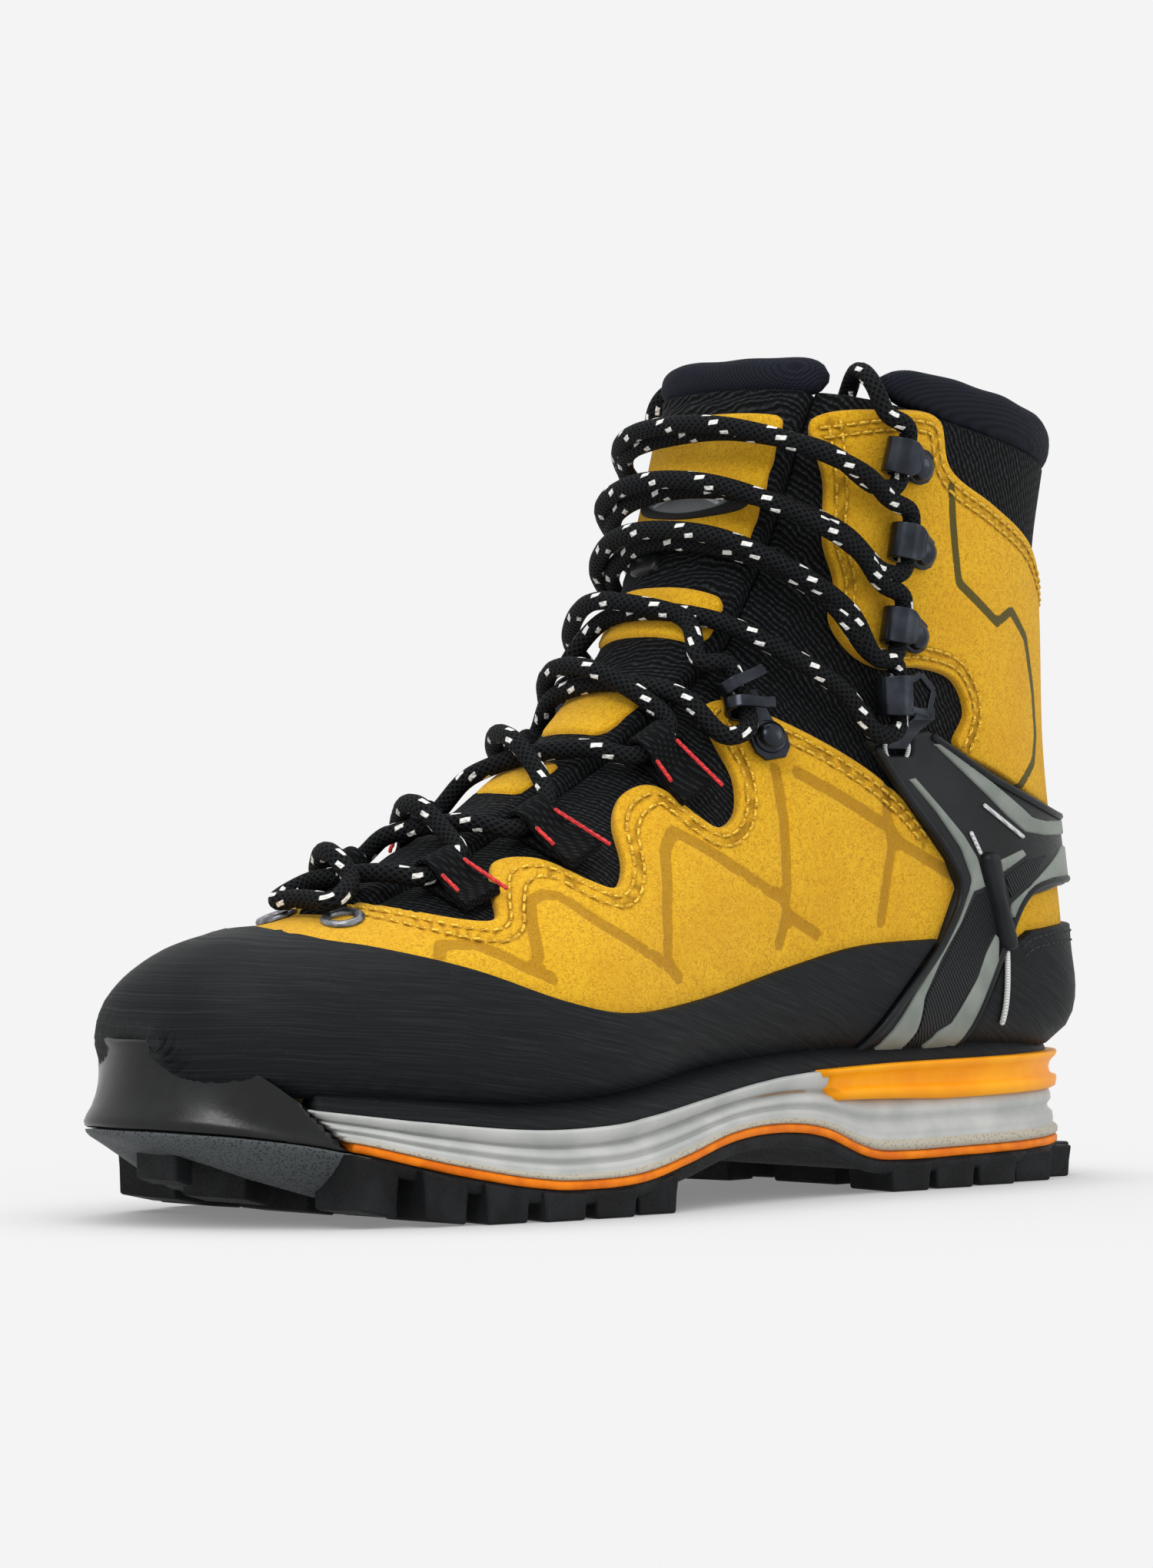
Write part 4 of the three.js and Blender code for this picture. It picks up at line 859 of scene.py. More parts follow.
class Mesh(Finish):
    """Black ribbed mesh of the upper and tongue."""

    slot = "textile"
    dark, pale = srgb(7, 8, 9), srgb(46, 50, 54)
    rib = 1.15

    def make(self, g: Graph) -> bpy.types.Material:
        """Build the material.

        Args:
            g: Empty graph.

        Returns:
            The material.
        """
        p = g.place()
        x, y, z = g.split(p)
        wobble = g.noise(p, 5, 2) * 2.4
        a = (x * 0.75 + z * 0.45 + y * 0.25 + wobble) * (2 * math.pi / self.rib)
        b = (z * 0.8 - x * 0.5 + y * 0.6 + wobble) * (2 * math.pi / (self.rib * 1.7))
        rib = a.wave()
        cross = b.wave()
        thread = rib * 0.75 + cross * 0.25
        fuzz = g.noise(p, 0.5, 2)
        colour = (thread.ramp(0.45, 0.95) * fuzz.ramp(0.25, 0.7)).mix(self.dark, self.pale)
        return g.dress(Base_Color=colour, Roughness=thread.ramp(0, 1, 0.92, 0.66),
                       Normal=g.bump(thread + fuzz * 0.3, 0.4), Specular_IOR_Level=0.12)


class Padding(Finish):
    """Navy-black padded fabric."""

    slot = "padding"

    def make(self, g: Graph) -> bpy.types.Material:
        """Build the material.

        Args:
            g: Empty graph.

        Returns:
            The material.
        """
        p = g.place()
        x, y, z = g.split(p)
        weave = ((x + y) * 5.2).call("SINE") * ((z - x) * 5.2).call("SINE")
        weave = weave * 0.5 + 0.5
        fuzz = g.noise(p, 1.1, 3)
        colour = (weave * 0.6 + fuzz * 0.4).ramp(0.3, 0.8).mix(srgb(11, 13, 21), srgb(27, 31, 43))
        return g.dress(Base_Color=colour, Roughness=fuzz.ramp(0.3, 0.7, 0.72, 0.9),
                       Normal=g.bump(weave + fuzz * 0.5, 0.14), Specular_IOR_Level=0.15)


class Lining(Finish):
    """Soft dark lining."""

    slot = "lining"

    def make(self, g: Graph) -> bpy.types.Material:
        """Build the material.

        Args:
            g: Empty graph.

        Returns:
            The material.
        """
        p = g.place()
        fuzz = g.noise(p, 0.8, 4, 0.7)
        tone = g.noise(p, 22, 3)
        colour = (fuzz * 0.7 + tone * 0.3).ramp(0.35, 0.7).mix(srgb(14, 16, 20), srgb(36, 39, 45))
        return g.dress(Base_Color=colour, Roughness=tone.ramp(0.3, 0.7, 0.88, 0.98),
                       Normal=g.bump(fuzz, 0.3), Specular_IOR_Level=0.1)


class Ribbed(Finish):
    """Fine ribs between the stripes."""

    slot = "moulded"

    def make(self, g: Graph) -> bpy.types.Material:
        """Build the material.

        Args:
            g: Empty graph.

        Returns:
            The material.
        """
        p = g.place()
        x, _, z = g.split(p)
        wave = ((x * 0.82 + z * 0.57) * (2 * math.pi / 0.95)).wave()
        colour = wave.ramp(0.35, 0.9).mix(srgb(8, 9, 10), srgb(36, 40, 43))
        return g.dress(Base_Color=colour, Roughness=wave.ramp(0, 1, 0.6, 0.42),
                       Normal=g.bump(wave, 0.3), Specular_IOR_Level=0.2)


class Cable(Finish):
    """Pale twisted cable."""

    slot = "moulded"

    def make(self, g: Graph) -> bpy.types.Material:
        """Build the material.

        Args:
            g: Empty graph.

        Returns:
            The material.
        """
        p = g.place()
        x, y, z = g.split(p)
        twist = ((x + z * 1.6 + y) * 6.0).wave()
        colour = twist.ramp(0.1, 0.9).mix(srgb(176, 180, 180), srgb(232, 234, 232))
        return g.dress(Base_Color=colour, Roughness=twist.ramp(0, 1, 0.45, 0.34),
                       Normal=g.bump(twist, 0.1))


class Lace(Finish):
    """Round black braid with pale dashes that step around it."""

    slot = "textile"
    turn = 17.0
    dash = 2.9

    def make(self, g: Graph) -> bpy.types.Material:
        """Build the material.

        Args:
            g: Empty graph.

        Returns:
            The material.
        """
        along = g.attribute("along")
        around = g.attribute("sin").call("ARCTAN2", g.attribute("cos")) / (2 * math.pi)
        step = (along / self.dash).call("FLOOR")
        part = (along / self.dash).call("FRACT")
        phase = (around - step * (self.dash / self.turn) + part * 0.05).call("FRACT")
        near = (phase - 0.5).call("ABSOLUTE")
        mark = near.ramp(0.036, 0.048, 1, 0)
        mark = mark * part.ramp(0.04, 0.14) * part.ramp(0.84, 0.96, 1, 0)
        strand = along * (2 * math.pi / 1.9)
        wind = around * (2 * math.pi * 8)
        a = (wind + strand).wave()
        b = (wind - strand).wave()
        braid = a.call("MAXIMUM", b)
        fuzz = g.noise(g.place(), 0.35, 2)
        colour = (braid.ramp(0.5, 1) * 0.8 * fuzz.ramp(0.2, 0.7)).mix(srgb(6, 7, 8), srgb(34, 36, 39))
        colour = mark.mix(colour, srgb(238, 238, 234))
        return g.dress(Base_Color=colour, Roughness=braid.ramp(0, 1, 0.95, 0.72),
                       Normal=g.bump(braid + fuzz * 0.2, 0.34), Specular_IOR_Level=0.12)


class Webbing(Finish):
    """Black woven tape."""

    slot = "textile"

    def make(self, g: Graph) -> bpy.types.Material:
        """Build the material.

        Args:
            g: Empty graph.

        Returns:
            The material.
        """
        p = g.place()
        x, y, z = g.split(p)
        a = ((x + y * 0.7) * 4.8).wave()
        b = ((z - y * 0.7) * 4.8).wave()
        weave = a * b
        fuzz = g.noise(p, 0.4, 2)
        colour = (weave.ramp(0.1, 0.8) * fuzz.ramp(0.2, 0.7)).mix(srgb(7, 8, 9), srgb(34, 37, 41))
        return g.dress(Base_Color=colour, Roughness=weave.ramp(0, 1, 0.9, 0.75),
                       Normal=g.bump(weave + fuzz * 0.3, 0.3), Specular_IOR_Level=0.12)


@dataclass(frozen=True)
class Thread(Finish):
    """Sewing thread in one colour.

    Attributes:
        label: Name of the material.
        dark: Colour of the folds.
        pale: Colour of the crests.
    """

    label: str
    dark: tuple
    pale: tuple

    def make(self, g: Graph) -> bpy.types.Material:
        """Build the material.

        Args:
            g: Empty graph.

        Returns:
            The material.
        """
        p = g.place()
        x, y, z = g.split(p)
        twist = ((x + y - z) * 9.0).wave()
        colour = (twist * 0.6 + g.noise(p, 1.3, 2) * 0.4).ramp(0.2, 0.8).mix(self.dark, self.pale)
        return g.dress(Base_Color=colour, Roughness=twist.ramp(0, 1, 0.8, 0.6),
                       Normal=g.bump(twist, 0.1))


class Badge(Finish):
    """Woven oval badge: dark border, pale field with a plain chevron."""

    slot = "textile"

    def make(self, g: Graph) -> bpy.types.Material:
        """Build the material.

        Args:
            g: Empty graph.

        Returns:
            The material.
        """
        p = g.place()
        _, y, z = g.split(p)
        weave = (y * 7.0).call("SINE") * (z * 9.0).call("SINE") * 0.5 + 0.5
        colour = weave.ramp(0.2, 0.8).mix(srgb(104, 108, 112), srgb(150, 153, 156))
        motif = g.attribute("motif").ramp(0.8, 1.1, 1, 0)
        colour = motif.mix(colour, srgb(222, 223, 222))
        border = g.attribute("edge").ramp(1.5, 1.9, 1, 0)
        colour = border.mix(colour, srgb(20, 21, 23))
        return g.dress(Base_Color=colour, Roughness=weave.ramp(0, 1, 0.85, 0.7),
                       Normal=g.bump(weave, 0.15))


SUEDE, RAND, RUBBER, FOAM, MESH, PADDING = Suede(), Rand(), Tread(), Foam(), Mesh(), Padding()
LINING, RIBBED, CABLE, LACE, WEBBING, BADGE = (Lining(), Ribbed(), Cable(), Lace(), Webbing(),
                                               Badge())
GLOSS = Tone("gloss", srgb(8, 9, 10), srgb(18, 20, 22), (14, 4, 0.6), (0.9, 3),
             (0.3, 0.75, 0.24, 0.42), (0.4, 0.75), "gloss_rubber", worn=True, depth=0.035,
             shine=0.34)
ORANGE = Tone("orange", srgb(216, 104, 6), srgb(240, 132, 16), (6, 3), (0.8, 2),
              (0.3, 0.7, 0.42, 0.6), slot="orange", worn=True, depth=0.05, shine=0.15)
WELT = Tone("welt", srgb(240, 150, 6), srgb(250, 170, 14), (16, 3), (0.8, 3),
            (0.3, 0.7, 0.36, 0.5), slot="welt", depth=0.05, shine=0.15)
MOULDED = Tone("moulded", srgb(12, 14, 16), srgb(24, 27, 30), (18, 2), (0.5, 3),
               (0.3, 0.7, 0.38, 0.52), depth=0.06, shine=0.22)
STRIPE = Tone("stripe", srgb(112, 119, 112), srgb(130, 136, 129), (10, 2), (0.5, 3),
              (0.3, 0.7, 0.5, 0.64), depth=0.04)
GUNMETAL = Tone("gunmetal", srgb(38, 41, 47), srgb(60, 64, 72), (7, 3, 0.5), (0.4, 2),
                (0.3, 0.75, 0.28, 0.2), (0.35, 0.75), "gunmetal", worn=True, depth=0.004,
                metal=0.85)
STEEL = Tone("steel", srgb(96, 98, 102), srgb(150, 152, 156), (2, 3), (2, 3),
             (0.3, 0.7, 0.3, 0.45), slot="steel", worn=True, metal=0.9)
BOARD = Tone("board", srgb(120, 104, 78), srgb(158, 140, 108), (1.4, 4, 0.7),
             (1.4, 4, 0.7), (0.3, 0.7, 0.8, 0.95), slot="board", worn=True, depth=0.1)
YELLOW_THREAD = Thread("yellow_thread", srgb(190, 138, 10), srgb(246, 206, 62))
BLACK_THREAD = Thread("black_thread", srgb(12, 13, 15), srgb(44, 46, 50))
RED_THREAD = Thread("red_thread", srgb(170, 22, 26), srgb(232, 52, 52))


# ------------------------------------------------------------------ making meshes
LONG = 320.0
TONGUE_LONG = 210.0
FAR = 99.0


def strips(rows: int, cols: int, wrap: bool = True) -> list:
    """Faces between rows of points, closed around each row where wrap is set."""
    return [[i * cols + j, i * cols + (j + 1) % cols, (i + 1) * cols + (j + 1) % cols,
             (i + 1) * cols + j] for i in range(rows - 1) for j in range(cols - (not wrap))]


def closed(rows: int, cols: int) -> list:
    """Faces between rows of points and at both ends."""
    ends = [list(range(cols))[::-1], [(rows - 1) * cols + j for j in range(cols)]]
    return strips(rows, cols) + ends


def placed(name: str, data: bpy.types.ID) -> bpy.types.Object:
    """Object of the scene for a mesh, a lamp or a camera.

    Args:
        name: Name of the object.
        data: What it shows.

    Returns:
        The object.
    """
    made = bpy.data.objects.new(name, data)
    bpy.context.scene.collection.objects.link(made)
    return made


@dataclass
class Shape:
    """Mesh data in millimetres before it becomes a piece.

    Attributes:
        verts: Points.
        faces: Loops of indices.
        fields: Numbers for each point by name.
    """

    verts: list = field(default_factory=list)
    faces: list = field(default_factory=list)
    fields: dict = field(default_factory=dict)

    def add(self, verts: Iterable, faces: Iterable, **fields: Sequence[float]) -> None:
        """Append another mesh.

        Args:
            verts: Its points.
            faces: Its faces.
            **fields: Its numbers by name.
        """
        start = len(self.verts)
        self.verts.extend([list(v) for v in verts])
        self.faces.extend([[start + i for i in f] for f in faces])
        for key, values in fields.items():
            self.fields.setdefault(key, [0.0] * start)
            self.fields[key].extend(float(v) for v in values)

    def join(self, other: "Shape") -> None:
        """Append another shape."""
        self.add(other.verts, other.faces, **other.fields)

    def piece(self, name: str, finish: Finish, body: str = "boot", nodes: Sequence[str] = (),
              smooth: bool = True, weld: float = 0.0, bevel: float = 0.0) -> bpy.types.Object:
        """Turn it into a piece of the boot.

        Args:
            name: Name of the piece.
            finish: Its finish.
            body: Body that it rides on.
            nodes: Nodes of the frame that it stands for.
            smooth: Whether it is shaded smooth.
            weld: Distance within which points are joined.
            bevel: Width of rounded edges.

        Returns:
            The piece.
        """
        data = bpy.data.meshes.new(name)
        points = (np.array(self.verts, float) + SHIFT) * 0.001
        data.from_pydata(points.tolist(), [], self.faces)
        for key, values in self.fields.items():
            data.attributes.new(key, "FLOAT", "POINT").data.foreach_set("value", values)
        if weld:
            bm = bmesh.new()
            bm.from_mesh(data)
            bmesh.ops.remove_doubles(bm, verts=bm.verts, dist=weld * 0.001)
            bm.to_mesh(data)
            bm.free()
        data.polygons.foreach_set("use_smooth", [smooth] * len(data.polygons))
        data.materials.append(finish.material())
        data.update()
        made = placed(name, data)
        if bevel:
            edge = made.modifiers.new("edges", "BEVEL")
            edge.width, edge.segments, edge.limit_method = bevel * 0.001, 3, "ANGLE"
            edge.angle_limit = math.radians(35)
            made.modifiers.new("shading", "WEIGHTED_NORMAL").keep_sharp = True
        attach(made, body)
        if nodes:
            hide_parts(*nodes)
        LOG.info("%s: %d points, %d faces, %s", name, len(data.vertices), len(data.polygons),
                 finish.name)
        return made


def tube(shape: Shape, line: Array, radius: float, sides: int = 10, flat: float = 1.0,
         closed_ends: bool = True) -> None:
    """Round tube along a line, with its place along and around.

    Args:
        shape: Shape to add to.
        line: Points of the centre.
        radius: Radius, or one for each point.
        sides: Points of a ring.
        flat: Height of the section by its width.
        closed_ends: Whether its ends are rounded off.
    """
    tangent = directions(line)
    radii = np.broadcast_to(np.asarray(radius, float), (len(line),)).copy()
    if closed_ends:
        line = np.concatenate([line[:1] - tangent[:1] * radii[0] * 0.6, line,
                               line[-1:] + tangent[-1:] * radii[-1] * 0.6])
        tangent = np.concatenate([tangent[:1], tangent, tangent[-1:]])
        radii = np.concatenate([[radii[0] * 0.35], radii, [radii[-1] * 0.35]])
    side = np.cross(tangent[0], (0, 0, 1.0))
    if np.linalg.norm(side) < 1e-3:
        side = np.cross(tangent[0], (0, 1.0, 0))
    verts, along, cos, sin = [], [], [], []
    length = 0.0
    angles = np.linspace(0, 2 * math.pi, sides, endpoint=False)
    for i, (p, t, r) in enumerate(zip(line, tangent, radii)):
        side = side - t * side.dot(t)
        side /= np.linalg.norm(side)
        up = np.cross(t, side)
        length += np.linalg.norm(p - line[i - 1]) if i else 0
        verts.extend(p + r * (np.cos(a) * side + flat * np.sin(a) * up) for a in angles)
        along.extend([length] * sides)
        cos.extend(np.cos(angles))
        sin.extend(np.sin(angles))
    shape.add(verts, closed(len(line), sides), along=along, cos=cos, sin=sin)


def inside(points: Array, polygon: Array) -> Array:
    """Which points lie in a polygon.

    Args:
        points: Pairs.
        polygon: Pairs of the closed outline.

    Returns:
        True for those inside.
    """
    x, y = points[:, 0][:, None], points[:, 1][:, None]
    a, b = polygon, np.roll(polygon, -1, axis=0)
    rise = np.where(b[:, 1] == a[:, 1], 1e-12, b[:, 1] - a[:, 1])
    crossing = (a[:, 1] > y) != (b[:, 1] > y)
    at = (b[:, 0] - a[:, 0]) * (y - a[:, 1]) / rise + a[:, 0]
    return (crossing & (x < at)).sum(1) % 2 == 1


def floor_shares(clear: float = 2.5, slope: float = -0.86) -> Array:
    """Share of the half ring where the floor begins.

    Args:
        clear: Depth under the feather line where it begins.
        slope: Downward lean where it begins sooner.

    Returns:
        One share for each ring of the last.
    """
    shares, vs = np.ones(LAST.us.shape), np.linspace(0, 1, 201)
    for row, u in enumerate(LAST.us):
        us = np.full(vs.shape, u)
        p, n = LAST.at(us, -vs, 3.0), LAST.normal(us, -vs)
        low = (p[:, 2] < feather_z(p[:, 0]) - clear) | (n[:, 2] < -abs(slope))
        low[:20] = False
        if low.any():
            shares[row] = vs[np.argmax(low)]
    return shares


FLOOR_V = floor_shares()


@dataclass
class Panel:
    """Sheet laid over the last, its outline given on one side of the boot.

    Attributes:
        name: Name of the piece.
        outline: Closed outline in the side view, or as (u, mm) pairs where plan is set.
        low: Height of its underside above the last.
        high: Height of its face.
        finish: Its finish.
        roll: Width of its rounded edge.
        grid: Spacing of its points.
        plan: Whether the outline is in u and millimetres from the front line.
        corners: Whether the outline keeps its corners.
        lines: Lines of the side view by attribute name.
        press: Depth of the channels below the face.
        swell: Extra height in the middle.
    """

    name: str
    outline: Points
    low: float
    high: float
    finish: Finish
    roll: float = 1.0
    grid: float = 2.4
    plan: bool = False
    corners: bool = True
    lines: dict = field(default_factory=dict)
    press: float = 0.5
    swell: float = 0.0

    def _places(self) -> Array:
        """Outline as u and share of the half ring.

        Returns:
            Pairs, clipped to the front line, the back seam and the floor.
        """
        line = rounded(self.outline, 1.2, closed=True, smooth=not self.corners)[:-1]
        if self.plan:
            u = line[:, 0] / LONG
            return np.stack([u, line[:, 1] / LAST.girth(u)], 1)
        u, v = LAST.locate(line)
        v = np.minimum(v, np.interp(u, LAST.us, FLOOR_V))
        v[v < 0.004] = 0
        v[v > 0.996] = 1
        return np.stack([u, v], 1)

    def half(self) -> tuple[Array, Array, list, Array]:
        """Flat mesh of one side.

        Returns:
            u, share, faces and the distance to the free edge in millimetres.
        """
        places = self._places()
        flat = np.stack([places[:, 0] * LONG, places[:, 1] * LAST.girth(places[:, 0])], 1)
        keep = [0]
        for i in range(1, len(flat)):
            if np.linalg.norm(flat[i] - flat[keep[-1]]) > 0.35:
                keep.append(i)
        if np.linalg.norm(flat[keep[-1]] - flat[keep[0]]) < 0.35:
            keep.pop()
        flat, places = flat[keep], places[keep]
        area = np.sum(flat[:, 0] * np.roll(flat[:, 1], -1) - np.roll(flat[:, 0], -1) * flat[:, 1])
        if area < 0:
            flat, places = flat[::-1], places[::-1]
        step = np.roll(flat, -1, 0) - np.roll(flat, 1, 0)
        step /= np.maximum(np.linalg.norm(step, axis=1, keepdims=True), 1e-9)
        inward = np.stack([-step[:, 1], step[:, 0]], 1)
        shell = LAST.at(places[:, 0], -places[:, 1], self.high)
        moved = flat + inward * 0.5
        nudged = self._lift(moved)
        scale = np.linalg.norm(nudged - shell, axis=1) / 0.5
        on_seam = (places[:, 1] <= 0) | (places[:, 1] >= 1)
        if self.plan:
            on_seam[:] = False
        floor = np.abs(places[:, 1] - np.interp(places[:, 0], LAST.us, FLOOR_V)) < 1e-6
        free = ~(on_seam | floor)
        clouds = []
        for share in (0.12, 0.35, 0.68, 1.0):
            ring = flat + inward * (share * self.roll / np.maximum(scale, 0.3))[:, None]
            clouds.append(ring[free])
        low, high = flat.min(0), flat.max(0)
        xs = np.arange(low[0] + self.grid / 2, high[0], self.grid)
        ys = np.arange(low[1] + self.grid / 2, high[1], self.grid)
        grid = np.stack(np.meshgrid(xs, ys), -1).reshape(-1, 2)
        grid[:, 0] += np.where(np.round(grid[:, 1] / self.grid) % 2 == 0, self.grid * 0.25,
                               -self.grid * 0.25)
        clouds.append(grid)
        extra = np.concatenate(clouds)
        extra = extra[inside(extra, flat)]
        edge = Tree(shell[free]) if free.any() else None
        reach = np.array([np.inf] * len(extra))
        border = Tree(np.concatenate([flat, np.zeros((len(flat), 1))], 1))
        gap = border.distance(np.concatenate([extra, np.zeros((len(extra), 1))], 1))
        if edge is not None:
            reach = edge.distance(self._lift(extra))
        ring_count = sum(len(c) for c in clouds[:-1])
        is_grid = np.arange(len(extra)) >= inside(np.concatenate(clouds[:-1]), flat).sum() \
            if ring_count else np.ones(len(extra), bool)
        good = np.where(is_grid, (reach > self.roll * 1.25) & (gap > self.grid * 0.45),
                        gap > 0.06)
        extra = extra[good]
        coords = [Vector(p) for p in np.concatenate([flat, extra])]
        found = delaunay_2d_cdt(coords, [], [list(range(len(flat)))], 1, 1e-4)
        out = np.array([list(p) for p in found[0]])
        faces = [list(f) for f in found[2]]
        u = out[:, 0] / LONG
        v = np.clip(out[:, 1] / LAST.girth(u), -1, 1)
        near = edge.distance(self._lift(out)) if edge is not None else np.full(len(out), FAR)
        return u, v, faces, near

    def _lift(self, flat: Array) -> Array:
        """Points above the flat places.

        Args:
            flat: Pairs of the flat mesh.

        Returns:
            Points at the height of the face.
        """
        u = flat[:, 0] / LONG
        v = np.clip(flat[:, 1] / LAST.girth(u), -1, 1)
        return LAST.at(u, -v, self.high)

    def shape(self, sides: Sequence[int] = (-1, 1)) -> Shape:
        """Sheet on the wanted sides.

        Args:
            sides: -1 for the outer side, 1 for the inner.

        Returns:
            The shape.
        """
        u, v, faces, near = self.half()
        rolled = np.sqrt(np.clip(1 - (1 - np.clip(near / self.roll, 0, 1)) ** 2, 0, 1))
        height = self.low - 0.15 + (self.high - self.low + 0.15) * rolled
        if self.swell:
            height = height + self.swell * smoothstep(0, 12, near)
        made = Shape()
        for side in sides:
            fields = {"edge": near}
            lifted = height.copy()
            base = LAST.at(u, side * v, self.high)
            for key, rows in self.lines.items():
                cloud = []
                for row in rows:
                    cloud.append(LAST.over(rounded(row, 0.4, smooth=False), side, self.high))
                fields[key] = Tree(np.concatenate(cloud)).distance(base)
            if "channel" in fields:
                lifted -= self.press * (1 - smoothstep(1.0, 2.1, fields["channel"]))
            if "seam" in fields:
                lifted -= 0.3 * (1 - smoothstep(0.3, 1.4, fields["seam"]))
            for key in ("channel", "line", "seam"):
                fields.setdefault(key, np.full(len(u), FAR))
            p = LAST.at(u, side * v, lifted)
            a, b, c = (p[[f[k] for f in faces]] for k in range(3))
            n = np.cross(b - a, c - a)
            out = LAST.normal(u, side * v)[[f[0] for f in faces]]
            flip = (n * out).sum() < 0
            made.add(p, [f[::-1] for f in faces] if flip else faces, **fields)
        return made

    def build(self, nodes: Sequence[str] = (), sides: Sequence[int] = (-1, 1),
              suffix: str = "") -> bpy.types.Object:
        """Make the piece."""
        return self.shape(sides).piece(self.name + suffix, self.finish, nodes=nodes, weld=0.08)


@dataclass(frozen=True)
class Seam:
    """Row of stitches at a distance from a line of the side view.

    Attributes:
        line: Points of the line.
        inset: Distances of the rows from the line, to its right.
        height: Height above the last.
        long: Length of a stitch.
        gap: Space between stitches.
        thick: Diameter of the thread.
    """

    line: Points
    inset: tuple
    height: float
    long: float = 2.3
    gap: float = 1.1
    thick: float = 0.8

    def rows(self) -> list:
        """Rows as lines of the side view."""
        dense = rounded(self.line, 0.8)
        rows = []
        for by in self.inset:
            moved = sheet_offset(dense, by)
            tree = Tree(np.concatenate([dense, np.zeros((len(dense), 1))], 1))
            gap = tree.distance(np.concatenate([moved, np.zeros((len(moved), 1))], 1))
            rows.append(relaxed(moved[gap > abs(by) * 0.9], 3))
        return rows

    def stitch(self, shape: Shape, side: int) -> None:
        """Add the stitches of one side.

        Args:
            shape: Shape to add to.
            side: Which side.
        """
        for row in self.rows():
            u, v = LAST.locate(row, side)
            good = (v > 0.002) & (v < 0.998)
            u, v = u[good], v[good]
            if len(u) < 3:
                continue
            p = resampled(np.stack([u * LONG, v * LAST.girth(u, side)], 1), 0.5)
            u = p[:, 0] / LONG
            v = p[:, 1] / LAST.girth(u, side)
            track = LAST.at(u, side * v, self.height)
            normal = LAST.normal(u, side * v)
            run = np.concatenate([[0], np.cumsum(np.linalg.norm(np.diff(track, axis=0), axis=1))])
            place = self.gap
            while place + self.long < run[-1]:
                goal = np.linspace(place, place + self.long, 5)
                line = np.stack([np.interp(goal, run, track[:, k]) for k in range(3)], 1)
                out = np.stack([np.interp(goal, run, normal[:, k]) for k in range(3)], 1)
                arch = np.array([-0.25, 0.12, 0.22, 0.12, -0.25]) * self.thick
                tube(shape, line + out * arch[:, None], self.thick / 2, 6)
                place += self.long + self.gap


# ------------------------------------------------------------------ sole
Height = Callable[[Array], Array]


def raised(line: Height, by: float) -> Height:
    """Height line moved up."""
    return lambda x: line(x) + by


def between(low: Height, high: Height, share: float, more: float = 0.0) -> Height:
    """Height line at a share of the way between two others."""
    return lambda x: lerp(low(x), high(x), share) + more


